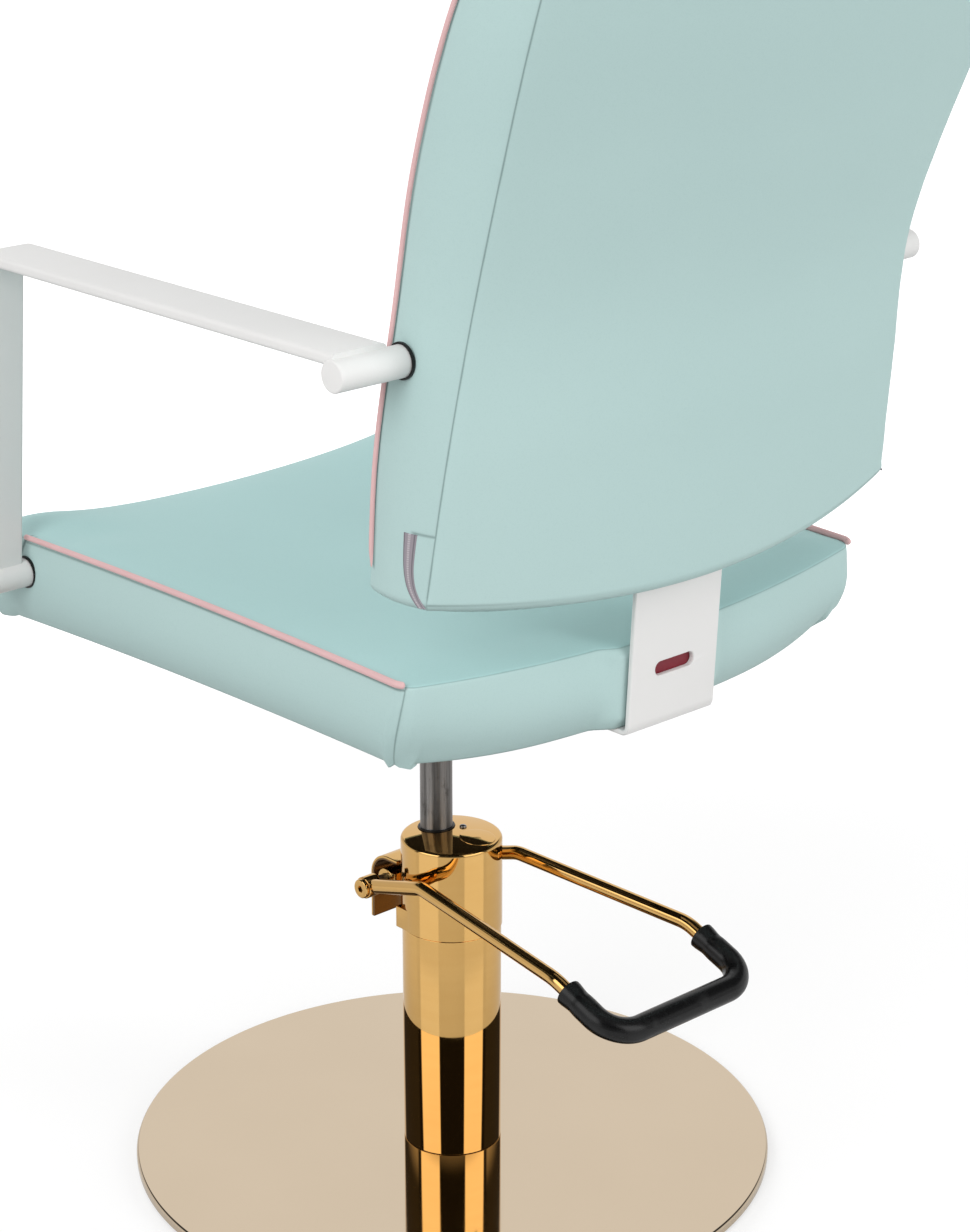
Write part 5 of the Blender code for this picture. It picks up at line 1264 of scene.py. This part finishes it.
def by_row(top, side, hem, recess):
    """A column of values for the seat's rows: one number, or one value for each row, of each part."""
    counts = (len(TOP_ROWS), len(SIDE_ROWS), HEM_ROWS, len(BOARD_SHARES))
    parts = [np.broadcast_to(part, count) for part, count in zip((top, side, hem, recess), counts)]
    return np.concatenate(parts)[:, None]


def seat_top_rows(edge):
    """Rows of the seat's top, and each point's way from the seam.

    The height is the dished top less a fall to the seam that grows with a high power of the way out.
    """
    share = TOP_ROWS[:, None]
    plan = SEAT_CENTRE + share[..., None] * (edge - SEAT_CENTRE)
    fall = seat_top(edge[:, 0], edge[:, 1]) - seat_seam(edge[:, 0], edge[:, 1])
    height = seat_top(plan[..., 0], plan[..., 1]) - fall * share ** SEAM_FALL_POWER
    return lifted(plan, height), (1.0 - share) * np.linalg.norm(edge - SEAT_CENTRE, axis=1)


def seat_side_rows(edge):
    """Rows of the sides, which swell between seam and lower edge, and each point's way from the seam."""
    inset = BOTTOM_DRAW_IN * SIDE_ROWS ** 5 - SIDE_BULGE * np.sin(math.pi * SIDE_ROWS)
    plan = seat_plan(inset, REAR_UNDERCUT * SIDE_ROWS ** 1.15)
    foot = seat_plan(BOTTOM_DRAW_IN, REAR_UNDERCUT)[0]
    low = seat_underside(foot[:, 0], foot[:, 1])
    seam = seat_seam(edge[:, 0], edge[:, 1])
    share = SIDE_ROWS[:, None]
    return lifted(plan, seam + share * (low - seam)), share * (seam - low)


def seat_lower_rows():
    """Rows of the hem below the seat's edge and of the recess that the board lies in."""
    hem = seat_plan(np.linspace(BOTTOM_DRAW_IN, BOARD_RECESS, HEM_ROWS + 1)[1:], REAR_UNDERCUT)
    recess = SEAT_CENTRE + np.array(BOARD_SHARES)[:, None, None] * (hem[-1] - SEAT_CENTRE)
    ceiling = seat_underside(recess[..., 0], recess[..., 1]) + BOARD_THICKNESS + BOARD_TOP_GAP
    return np.concatenate([lifted(hem, seat_underside(hem[..., 0], hem[..., 1])), lifted(recess, ceiling)])


def swell_to_bracket(grid, gap, edge):
    """How far the seat's points move to the rear, so that the pad swells up to the bracket's plate."""
    beside = np.clip((PRESS_END - np.abs(edge[:, 0])) / (PRESS_END - PRESS_START), 0.0, 1.0)
    beside = eased(beside) * (edge[:, 1] > SEAT_MIDDLE)
    pressed = np.interp(SIDE_ROWS, PRESS_DEPTHS, PRESS_SHARES)
    share = by_row(0.0, pressed, pressed[-1] * HEM_FADE, 0.0)
    share = share + by_row(PRESS_SHARES[0], 0.0, 0.0, 0.0) * ridge(gap, PRESS_TOP_FADE)
    reach = bracket_inner_y(grid[..., 2]) - PRESS_GAP - grid[..., 1]
    return beside * share * np.maximum(reach, 0.0)


def seat_threads(gap, corner, front_seam, depth, piped):
    """How dark the seat's cover is along its seams: round the top, at the rear corners and in front. By the
    piping the line is stitch and painted shadow under the piping, the wide front line is seam and painted
    shadow by the armrest post, faded below the rod, and the tuck on the top is painted shade in its fold.
    """
    on_side = by_row(0.0, 1.0, 0.0, 0.0)
    stitch_and_shadow = np.where(piped, gap - PIPING_RADIUS - SEAT_STITCH_AND_SHADOW_SET_OUT, gap)
    round_top = np.where(piped, PIPED_STITCH_AND_SHADOW_DARK, BARE_DARK) * ridge(stitch_and_shadow, STITCH_WIDTH)
    at_corner = CORNER_DARK * on_side * ridge(corner, CORNER_STITCH_WIDTH)
    above_rod = np.clip((0.5 - depth) / 0.2, 0.0, 1.0)
    front_seam_and_shadow = on_side * above_rod * ridge(front_seam, FRONT_SEAM_AND_SHADOW_WIDTH)
    # painted shade in the fold on the top beside the front seam
    tuck = (1.0 - on_side) * ridge(front_seam - 0.5 * gap, TUCK_FOLD_SHADE_WIDTH) * (gap < TUCK_LENGTH)
    return np.maximum.reduce([round_top, at_corner, front_seam_and_shadow, tuck])


def seat_pad():
    """Padded seat, row by row from the middle of its top out to the seam, down its sides and in below.

    Seams are pinched in, with puckers beside them, and the cover's folded ears hang at the lower rear
    corners, the right one drawn up and out. The rear swells up to the bracket.
    """
    edge = seat_plan(0.0)[0]
    outward = seat_plan(-0.001)[0] - seat_plan(0.001)[0]
    outward /= np.linalg.norm(outward, axis=1)[:, None]
    run = lengths(edge)
    top, top_gap = seat_top_rows(edge)
    side, side_gap = seat_side_rows(edge)
    below = seat_lower_rows()
    grid = np.concatenate([top, side, below])
    gap = np.concatenate([top_gap, side_gap, np.ones(below.shape[:2])])

    on_side = by_row(0.0, 1.0, 0.0, 0.0)
    depth = by_row(0.0, SIDE_ROWS, 1.0, 0.0)
    corner = rear_corner_gap(run)
    flank = np.abs(edge[:, 0]) > SEAT_HALF_WIDTH - 0.0005
    front_seam = np.where(flank, np.abs(edge[:, 1] - FRONT_SEAM_Y + FRONT_SEAM_LEAN * depth), 1.0)
    upright = np.minimum(np.abs(corner), front_seam)
    piped = (corner < 0.0) & (edge[:, 1] > FRONT_SEAM_Y)

    groove = SEAM_PINCH * ridge(gap, SEAM_PINCH_WIDTH)
    pinch = groove + UPRIGHT_PINCH * on_side * (1.0 - depth) * ridge(upright, UPRIGHT_PINCH_WIDTH)
    waves = SEAT_PUCKER * np.exp(-gap / SEAT_PUCKER_FADE) * pucker(run, 0.4)
    upright_waves = UPRIGHT_PUCKER * np.exp(-upright / UPRIGHT_PUCKER_FADE) * pucker(run + 9.0 * depth, 1.9)
    waves = waves + on_side * upright_waves
    fold = REAR_EAR_HANG * ear(corner, *REAR_EAR) + SIDE_EAR_HANG * ear(-corner, *SIDE_EAR)
    fold = (fold - FRONT_SEAM_TUCK * ridge(front_seam, FRONT_SEAM_TUCK_WIDTH)) * depth ** 6
    drawn = ridge(corner, DRAWN_CORNER_WIDTH) * (edge[:, 0] < 0.0)
    drawn = drawn * by_row(0.0, SIDE_ROWS ** 2, HEM_FADE, 0.0)

    grid[..., 1] += swell_to_bracket(grid, gap, edge)
    spread = waves * on_side - pinch + 0.3 * fold + DRAWN_CORNER_SPREAD * drawn
    grid[..., :2] += spread[..., None] * outward
    grid[..., 2] += waves * (1.0 - on_side) * ridge(gap, 0.05) - groove - fold + DRAWN_CORNER_LIFT * drawn

    # the upper mark gives the seat's top the painted-light copy of the mint
    painted_light_on_top = np.broadcast_to(by_row(1.0, 0.0, 0.0, 0.0), gap.shape)
    marks = {"seam": with_hubs(seat_threads(gap, corner, front_seam, depth, piped)),
             "upper": with_hubs(painted_light_on_top, 1.0)}
    pad = piece("seat_pad", [skin(grid, around=True)], MINT, "seat", ["seat_cushion"],
                PAD_CREASE, marks)
    return pad


def seat_piping(word, side):
    """Piping along a side edge of the seat's top, from the front seam round into the rear corner.

    It lies just outside the seam, grows a little thicker towards the rear and has tucked round ends.
    """
    edge = seat_plan(0.0)[0]
    outer = seat_plan(-PIPING_OFFSET)[0]
    wanted = np.r_[3 * SEAT_COLUMNS + CORNER_STEPS:4 * SEAT_COLUMNS, 0:CORNER_STEPS // 2 + 1]
    wanted = wanted[edge[wanted, 1] > FRONT_SEAM_Y]
    seam = seat_seam(edge[wanted, 0], edge[wanted, 1]) + PIPING_OFFSET
    path = np.column_stack([side * outer[wanted, 0], outer[wanted, 1], seam])
    places, sizes = round_ended(240, lengths(path)[-1], PIPING_RADIUS)
    sizes = sizes * (1.0 + PIPING_GROWTH / PIPING_RADIUS * places / places[-1])
    grid = carried(along_path(path, places), rounds_of(sizes, 20), UP)
    return piece(f"seat_welt_{word}", [skin(grid, around=True)], PINK, "seat",
                 [f"seat_piping_{word}"])


# Back pad

FACE_COLUMNS = 121
GUSSET_COLUMNS = 27


def back_front(x, height):
    """Front face of the back: hollowed across, with a little crown in the padding."""
    across = (x / through(BACK_HEIGHTS, BACK_HALF_WIDTH, height)) ** 2
    edge = through(BACK_HEIGHTS, BACK_FRONT_EDGE, height)
    return edge + BACK_FRONT_BOW * (1.0 - across) - BACK_FRONT_CROWN * (1.0 - across ** 2)


def back_rear(x, height):
    """Rear face of the back, bowed out from seam to seam."""
    across = (x / through(BACK_HEIGHTS, BACK_HALF_WIDTH, height)) ** 2
    return through(BACK_HEIGHTS, BACK_REAR_SEAM, height) + BACK_REAR_BOW * (1.0 - across)


def gusset_x(y, height):
    """Half width of the back at a point of its side gusset."""
    front = through(BACK_HEIGHTS, BACK_FRONT_EDGE, height)
    rear = through(BACK_HEIGHTS, BACK_REAR_SEAM, height)
    share = np.clip((y - front) / (rear - front), 0.0, 1.0)
    return through(BACK_HEIGHTS, BACK_HALF_WIDTH, height) + BACK_GUSSET_BULGE * np.sin(math.pi * share)


def sagged(x, height):
    """Heights near the back's lower edge hang lower towards the middle."""
    across = (x / through(BACK_HEIGHTS, BACK_HALF_WIDTH, height)) ** 2
    fade = np.clip((BACK_BOTTOM + BACK_SAG_FADE - height) / BACK_SAG_FADE, 0.0, 1.0) ** 1.5
    return height - BACK_BOTTOM_SAG * (1.0 - across) * fade


def zip_band(height):
    """Front edge and width of the zip at a height: it sweeps to the rear and narrows as it goes down."""
    share = np.clip((ZIP_ENDS[0] - height) / (ZIP_ENDS[0] - ZIP_ENDS[1]), 0.0, 1.0)
    return ZIP_EDGE_Y + ZIP_SWEEP * share ** 4, ZIP_WIDTHS[0] + share * (ZIP_WIDTHS[1] - ZIP_WIDTHS[0])


def back_rows():
    """Height of each row of the back pad and how far it is drawn in: round lower edge, body, round top."""
    turn = np.linspace(math.pi / 2.0, 0.0, 19)[:, None]
    foot = BACK_BOTTOM_ROUND * np.hstack([1.0 - np.sin(turn), 1.0 - np.cos(turn)]) + (BACK_BOTTOM, 0.0)
    body_top = BACK_TOP - BACK_TOP_ROUND
    even = np.linspace(BACK_BOTTOM + BACK_BOTTOM_ROUND, body_top, 121)[1:-1]
    clear = even[np.abs(even - GUSSET_SEAM_HEIGHT) > GUSSET_SEAM_CLEAR]
    heights = np.sort(np.concatenate([clear, GUSSET_SEAM_HEIGHT + GUSSET_SEAM_ROWS]))
    body = np.stack([heights, np.zeros(len(heights))], axis=-1)
    turn = np.linspace(0.0, math.pi / 2.0 * 0.985, 18)[:, None]
    top = np.hstack([body_top + BACK_TOP_ROUND * np.sin(turn), BACK_TOP_ROUND * (1.0 - np.cos(turn))])
    return np.concatenate([foot, body, top])


def back_gaps(half, across, front, rear, inner):
    """Each point's way from the front seams and from the rear seams, large on the other face."""
    face = half - np.abs(across)
    band = rear[:, -1:] - front[:, -1:]
    far = np.full_like(face, 1.0)
    behind = inner * band
    before = (1.0 - inner) * band
    front_gap = np.concatenate([face, behind, far, behind[:, ::-1]], axis=1)
    rear_gap = np.concatenate([far, before, face, before[:, ::-1]], axis=1)
    return front_gap, rear_gap


def pinched(gap, width, hollow, hollow_width):
    """Depth of the cover beside a seam: a narrow groove in a soft hollow."""
    return SEAM_PINCH * ridge(gap, width) + hollow * ridge(gap, hollow_width)


def back_pad():
    """Padded back, row by row up its height: front face, side gusset, rear face, side gusset.

    Each face is a bow across the width and each gusset swells between its seams, which are pinched in. The
    seams run dark, as do the short cross seam over each zip and the ends of the lower hem; beside the piping
    the dark on each gusset is stitch and painted shadow of the piping.
    Rungs between the front and rear points close both ends.
    """
    height, draw_in = back_rows().T[:, :, None]
    half = through(BACK_HEIGHTS, BACK_HALF_WIDTH, height) - draw_in
    across = -half * crowded(FACE_COLUMNS)
    front = back_front(across, height) + draw_in
    rear = back_rear(across, height) - draw_in
    share = 0.5 + 0.5 * crowded(GUSSET_COLUMNS + 2)
    inner = share[1:-1]
    side_y = front[:, -1:] + inner * (rear[:, -1:] - front[:, -1:])
    side_x = half + BACK_GUSSET_BULGE * np.sin(math.pi * inner)
    x = np.concatenate([across, -side_x, across[:, ::-1], side_x[:, ::-1]], axis=1)
    y = np.concatenate([front, side_y, rear[:, ::-1], side_y[:, ::-1]], axis=1)

    front_gap, rear_gap = back_gaps(half, across, front, rear, inner)
    on_gusset = np.zeros(x.shape[1])
    on_gusset[FACE_COLUMNS:FACE_COLUMNS + GUSSET_COLUMNS] = 1.0
    on_gusset[-GUSSET_COLUMNS:] = 1.0

    from_end = np.clip(np.stack([height - BACK_BOTTOM, BACK_TOP - height]) / BACK_SEAM_FADE, 0.0, 1.0)
    ends = from_end[0] * from_end[1]
    pinch_front = PINCH_SHARE * ends * pinched(front_gap, *FRONT_PINCH)
    pinch_rear = PINCH_SHARE * ends * pinched(rear_gap, *REAR_PINCH)
    zip_edge, zip_width = zip_band(height)
    behind_zip = y > zip_edge + 0.5 * zip_width
    cross = on_gusset * behind_zip * ridge(height - GUSSET_SEAM_HEIGHT, CROSS_STITCH_WIDTH)
    beside_seam = np.exp(-front_gap / BACK_PUCKER_FADE) + np.exp(-rear_gap / BACK_PUCKER_FADE)
    waves = ends * BACK_PUCKER * beside_seam * pucker(height, 0.9)
    x = x + np.sign(x) * (waves * on_gusset - pinch_front - pinch_rear - UPRIGHT_PINCH * cross)
    y = y + pinch_front - pinch_rear + waves * (1.0 - on_gusset) * np.where(rear_gap < 0.5, 1.0, -1.0)
    grid = np.stack([x, y, sagged(x, np.broadcast_to(height, x.shape))], axis=-1)

    on_rear = (rear_gap < 0.9) * (1.0 - on_gusset)
    hem = on_rear * ridge(height - BACK_BOTTOM - HEM_RISE, HEM_STITCH_WIDTH) * (np.abs(x) / half) ** 3
    piped = (height > BACK_PIPING_ENDS[0]) * (height < BACK_PIPING_ENDS[1])
    # beside the piping the dark line on the gusset is stitch and painted shadow of the piping
    from_piping = front_gap - BACK_PIPING_SET_BACK - PIPING_RADIUS - BACK_STITCH_AND_SHADOW_SET_OUT
    stitch_and_shadow = on_gusset * piped * ridge(from_piping, BACK_STITCH_AND_SHADOW_WIDTH)
    rear_seam = ends * ridge(rear_gap, STITCH_WIDTH)
    dark = np.maximum.reduce([BACK_PIPED_STITCH_AND_SHADOW_DARK * stitch_and_shadow, BACK_REAR_DARK * rear_seam, BACK_CROSS_DARK * cross,
                              BACK_HEM_DARK * hem])
    caps = [end_cap(height[k], half[k], across[k], front[k], rear[k], share, drop)
            for k, drop in ((0, BACK_FOOT_SWELL), (-1, 0.0))]
    marks = {"seam": np.concatenate([dark.ravel(), np.zeros(sum(len(cap[0]) for cap in caps))])}
    pad = piece("back_pad", [skin(grid, around=True, caps=False)] + caps, MINT,
                "seat", ["back_cushion"], PAD_CREASE, marks)
    return pad


def end_cap(height, half, across, front, rear, share, drop):
    """Rungs across an end of the back pad, whose first and last follow the swell of the gussets.

    Between its edges the end hangs by the drop.
    """
    outermost = (np.abs(across)[:, None] / half) ** 12
    x = across[:, None] + np.sign(across)[:, None] * BACK_GUSSET_BULGE * np.sin(math.pi * share) * outermost
    y = front[:, None] + share * (rear - front)[:, None]
    level = sagged(x, np.broadcast_to(height, x.shape)) - drop * np.sin(math.pi * share) * (1.0 - outermost)
    return skin(np.stack([x, y, level], axis=-1), caps=False)


def back_piping(word, side):
    """Piping up a front edge of the back, set into the gusset, its lower end tucked in."""
    height = np.linspace(*BACK_PIPING_ENDS, 240)
    y = through(BACK_HEIGHTS, BACK_FRONT_EDGE, height) + BACK_PIPING_SET_BACK
    tuck = PIPING_RADIUS * ridge(height - BACK_PIPING_ENDS[0], 0.010)
    path = np.stack([side * (gusset_x(y, height) - tuck), y, height], axis=-1)
    places, sizes = round_ended(240, lengths(path)[-1], PIPING_RADIUS)
    grid = carried(along_path(path, places), rounds_of(sizes, 20), ACROSS)
    return piece(f"back_welt_{word}", [skin(grid, around=True)], PINK, "seat",
                 [f"back_piping_{word}"])


def back_zip(word, side):
    """Zip on a gusset: tape with rolled edges and a raised coil of teeth, laid on the gusset's swell."""
    run = np.linspace(0.0, 1.0, 90)[:, None]
    height = ZIP_ENDS[0] + run * (ZIP_ENDS[1] - ZIP_ENDS[0])
    across = np.linspace(-1.0, 1.0, 33)
    front, width = zip_band(height)
    y = front + (0.5 + 0.5 * across) * width
    coil = ZIP_COIL * ridge(across, ZIP_COIL_WIDTH)
    hems = ZIP_HEM * ridge(np.abs(across) - ZIP_HEM_PLACE, ZIP_HEM_WIDTH)
    lift = ZIP_TAPE * (1.0 - across ** 12) + coil + hems
    gusset = gusset_x(y, np.broadcast_to(height, y.shape))
    x = side * np.concatenate([gusset + lift, gusset[:, ::-1] - ZIP_SUNK], axis=1)
    grid = np.stack([x, np.concatenate([y, y[:, ::-1]], axis=1), np.broadcast_to(height, x.shape)], axis=-1)
    length = ZIP_ENDS[0] - ZIP_ENDS[1]
    both = np.broadcast_to(np.concatenate([across, across[::-1]]), x.shape)
    marks = {"across": with_hubs(both), "run": with_hubs(np.broadcast_to(run * length, x.shape))}
    return piece(f"zip_{word}", [skin(grid, around=True)], ZIP, "seat", [f"back_zip_{word}"],
                 ZIP_CREASE, marks)


# White metal

def bracket_inner_y(height):
    """Front face of the leaning bracket plate at a height."""
    return BRACKET_FACE_Y - BRACKET_THICKNESS + (height - SEAT_UNDERSIDE) * math.tan(BRACKET_LEAN)


def bracket_plate():
    """Plate carried from the flange under the seat round its bend and up into the back, with a slot."""
    half = BRACKET_THICKNESS / 2.0
    flange_z = PLATE_TOP - half
    corner = (bracket_inner_y(flange_z) + half, flange_z)
    top = (bracket_inner_y(BRACKET_TOP) + half, BRACKET_TOP)
    path = rounded_path([(FLANGE_FRONT, flange_z), corner, top], [BRACKET_BEND_ROUND], 24)
    straight = np.linspace(BRACKET_EDGE, lengths(path)[-1], BRACKET_ROWS + 1)[1:]
    places = np.concatenate([BRACKET_EDGE * (1.0 - np.cos(QUARTER_TURN)), straight])
    inset = np.concatenate([BRACKET_EDGE * (1.0 - np.sin(QUARTER_TURN)), np.zeros(BRACKET_ROWS)])
    outline = bar_outline(half, BRACKET_HALF_WIDTH, BRACKET_EDGE, inset)
    bent = carried(side_line(path, places), outline, ACROSS)
    plate = piece("bracket_plate", [skin(bent, around=True)], WHITE, None)
    combine(plate, 'DIFFERENCE', [piece("slot", [bracket_slot()], WHITE, None)])
    dress(plate, WHITE, CUT_CREASE)
    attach(plate, "seat")
    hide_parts("back_bracket")
    return plate


def bracket_slot():
    """Cutter of the bracket's round-ended slot, flared at the outer face so that the slot's rim is eased."""
    turn = np.linspace(-math.pi / 2.0, math.pi / 2.0, 25)
    face = bracket_inner_y(SLOT_HEIGHT) + BRACKET_THICKNESS
    flare = face - SLOT_EASE * (1.0 - np.sin(QUARTER_TURN))
    depth = np.concatenate([[face - SLOT_CUT_INSIDE], flare, [face + SLOT_CUT_OUTSIDE]])
    radius = SLOT_WIDTH / 2.0 + SLOT_EASE * np.concatenate([[0.0], 1.0 - np.cos(QUARTER_TURN), [1.0]])
    reach = (SLOT_LENGTH - SLOT_WIDTH) / 2.0
    right = np.stack([reach + radius[:, None] * np.cos(turn), radius[:, None] * np.sin(turn)], axis=-1)
    around = np.concatenate([right, -right], axis=1)
    depth = np.broadcast_to(depth[:, None], around.shape[:2])
    slot = np.stack([around[..., 0], depth, SLOT_HEIGHT + around[..., 1]], axis=-1)
    return skin(slot, around=True)


def armrest(word, side):
    """Flat bar with soft edges, bent down into the leaning post, and a round rod across each end."""
    middle_z = ARM_TOP - ARM_THICKNESS / 2.0
    corner_y = FRONT_ROD[0] + POST_LEAN * (middle_z - FRONT_ROD[1])
    path = rounded_path([(REAR_ROD[0], middle_z), (corner_y, middle_z), FRONT_ROD], [ARM_BEND_ROUND], 30)
    line = side_line(path, np.linspace(0.0, lengths(path)[-1], 240), side * ARM_MIDDLE_X)
    outline = bar_outline(ARM_THICKNESS / 2.0, ARM_HALF_WIDTH, ARM_EDGE_ROUND, 0.0, 8)
    shells = [skin(carried(line, outline, ACROSS), around=True)]
    for place, inner in ((REAR_ROD, REAR_ROD_INNER_X), (FRONT_ROD, FRONT_ROD_INNER_X)):
        profile = rounded_path([(ARM_ROD_HUB, side * inner), (ARM_ROD_RADIUS, side * inner),
                                (ARM_ROD_RADIUS, side * ARM_ROD_END_X), (ARM_ROD_HUB, side * ARM_ROD_END_X)],
                               ARM_ROD_ROUNDS, 8)
        shells.append(skin(turned(profile, 'X', place, 96), around=True))
    return piece(f"arm_bar_{word}", shells, WHITE, "seat", [f"armrest_{word}"])


def arm_ring(word, side, name, node, place):
    """Black ring round a rod where it enters the upholstery, with a rolled outer edge."""
    low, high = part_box(node)
    inner, outer = sorted((abs(low.x), abs(high.x)))
    rim = (high.z - low.z) / 2.0
    bore = ARM_ROD_RADIUS + RING_FIT
    first, last = side * (inner - RING_SUNK), side * outer
    ring = softened([(bore, first), (rim, first), (rim, last), (bore, last)], RING_ROUND, 5)
    return piece(f"{name}_{word}", [skin(turned(ring, 'X', place, 96), around=True, along=True)], RUBBER,
                 "seat", [node])


base_dish()
column_tube()
head_casting()
rod_wiper()
filler_plug()
bleed_screw()
lever_hood()
return_spring()
lever_tube()
grip_sleeve()
ram_rod()
plate_and_socket()
seat_pad()
back_pad()
bracket_plate()
for hand, sign in LEFT_AND_RIGHT:
    lever_bolt(hand, sign)
    seat_piping(hand, sign)
    back_piping(hand, sign)
    back_zip(hand, sign)
    armrest(hand, sign)
    arm_ring(hand, sign, "seat_grommet", f"seat_arm_ring_{hand}", FRONT_ROD)
    arm_ring(hand, sign, "back_grommet", f"back_arm_ring_{hand}", REAR_ROD)

KEPT_NODES = {
    RUBBER: ["base_pad", "piston_seal"],
    DARK: ["base_weight", "pump_cylinder", "lever_cam", "plate_bolt_1", "plate_bolt_2", "plate_bolt_3",
           "plate_bolt_4", "flange_bolt_1", "flange_bolt_2"],
    STEEL: ["plunger", "pivot_shaft", "ram_piston"],
    RED: ["bracket_backing"],
    LINING: ["seat_board"],
    PLY: ["back_board", "seat_arm_block_left", "seat_arm_block_right", "back_arm_block_left",
          "back_arm_block_right"],
}
for surface, names in KEPT_NODES.items():
    for node_name in names:
        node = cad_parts[node_name]
        node.data.materials.clear()
        node.data.materials.append(surface)


# Studio

def studio_floor():
    """Pale floor that keeps the chair's shadow: whiter far off, dimmer and faintly polished to metal."""
    mesh = bpy.data.meshes.new("studio_floor")
    signs = ((-1.0, -1.0), (1.0, -1.0), (1.0, 1.0), (-1.0, 1.0))
    corners = [(x * FLOOR_SIZE, y * FLOOR_SIZE, FLOOR_Z) for x, y in signs]
    mesh.from_pydata(corners, [], [(0, 1, 2, 3)])
    floor = bpy.data.objects.new("studio_floor", mesh)
    bpy.context.scene.collection.objects.link(floor)
    paint = new_paint("studio_floor")
    tree = paint.tree
    tree.nodes.remove(tree.nodes["Principled BSDF"])
    path = paint.make("ShaderNodeLightPath")
    seen = Value(paint, path.socket.node.outputs["Is Camera Ray"])
    mirrored = Value(paint, path.socket.node.outputs["Is Glossy Ray"])
    x, y, _ = paint.axes(paint.make("ShaderNodeTexCoord", output="Object"))
    far = paint.step(x * x + y * y, 0.5, 3.2)
    matt = paint.make("ShaderNodeBsdfDiffuse", None, {"Color": (0.42, 0.42, 0.42, 1.0)})
    strength = (0.58 + 0.32 * far) * seen + 0.38 * mirrored
    glow = paint.make("ShaderNodeEmission", None, {"Color": (1.0, 1.0, 1.0, 1.0), "Strength": strength})
    shine = paint.make("ShaderNodeBsdfGlossy", None, {"Roughness": 0.05, "Color": (1.0, 1.0, 1.0, 1.0)})
    whole = paint.make("ShaderNodeAddShader", None, {0: matt, 1: glow})
    polished = paint.make("ShaderNodeMixShader", None, {0: 0.14 * mirrored, 1: whole, 2: shine})
    tree.links.new(polished.socket, tree.nodes["Material Output"].inputs["Surface"])
    mesh.materials.append(paint.owner)


def studio_world():
    """White room to the camera, even light to dull surfaces, and to metal a dark room.

    The dark room has two tall softboxes beside the camera, a white screen behind the chair, low grey walls
    at its sides and a grey ceiling.
    """
    world = bpy.data.worlds.new("studio_world")
    bpy.context.scene.world = world
    paint = Paint(world)
    background = paint.tree.nodes["Background"]
    x, y, z = paint.axes(paint.make("ShaderNodeTexCoord", output="Generated"))
    flat = math.hypot(*CAMERA_AIM[:2])
    toward_x, toward_y = -CAMERA_AIM[0] / flat, -CAMERA_AIM[1] / flat
    ahead = toward_x * x + toward_y * y
    aside = abs(toward_y * x - toward_x * y)
    turn = paint.make("ShaderNodeMath", {"operation": "ARCTAN2"}, {0: aside, 1: ahead})

    def past(first, last):
        """1 where a direction lies further round from the camera than these degrees, 0 where less far."""
        return paint.step(turn, math.radians(first), math.radians(last))

    box = past(28.0, 31.0) * (1.0 - past(75.0, 79.0))
    screen = past(148.0, 162.0) * (1.0 - paint.step(z, 0.62, 0.80))
    wings = past(82.0, 90.0)
    walls = wings * (1.0 - paint.step(z, 0.36, 0.43))
    high = paint.step(z, 0.30, 0.36)
    ceiling = paint.step(z, 0.76, 0.84)
    upper = (0.016 + 0.03 * wings + 2.0 * box) * (1.0 - ceiling) + 0.22 * ceiling
    lower = 0.24 + 0.66 * box
    room = (high * upper + (1.0 - high) * lower + 0.46 * walls) * (1.0 - screen) + 0.93 * screen
    path = paint.make("ShaderNodeLightPath")
    seen = Value(paint, path.socket.node.outputs["Is Camera Ray"])
    mirrored = Value(paint, path.socket.node.outputs["Is Glossy Ray"])
    dull = (1.0 - seen) * (1.0 - mirrored)
    background.inputs["Color"].default_value = (1.0, 1.0, 1.0, 1.0)
    paint.feed(background.inputs["Strength"], seen + mirrored * room + 0.68 * dull)


def studio_lamp(name, place, aim, power):
    """A large soft lamp that metal doesn't show."""
    lamp = bpy.data.lights.new(name, 'AREA')
    lamp.shape = 'DISK'
    lamp.size = LAMP_SIZE
    lamp.energy = power
    obj = bpy.data.objects.new(name, lamp)
    bpy.context.scene.collection.objects.link(obj)
    obj.location = place
    obj.rotation_euler = direction_turn(np.subtract(aim, place))
    obj.visible_glossy = False
    obj.visible_camera = False


def direction_turn(ahead):
    """Euler angles that point a lamp or camera, whose own view is down -Z, along a direction without roll."""
    ahead = np.asarray(ahead, dtype=float) / np.linalg.norm(ahead)
    return (math.acos(-ahead[2]), 0.0, math.atan2(-ahead[0], ahead[1]))


def camera():
    """The photograph's camera."""
    lens = bpy.data.cameras.new("camera")
    lens.lens = CAMERA_LENS
    lens.sensor_width = CAMERA_SENSOR
    lens.clip_end = CAMERA_REACH
    obj = bpy.data.objects.new("camera", lens)
    bpy.context.scene.collection.objects.link(obj)
    obj.location = CAMERA_PLACE
    obj.rotation_euler = direction_turn(CAMERA_AIM)
    bpy.context.scene.camera = obj


studio_floor()
studio_world()
for lamp_settings in LAMPS:
    studio_lamp(*lamp_settings)
camera()
bpy.context.scene.view_settings.view_transform = 'Standard'
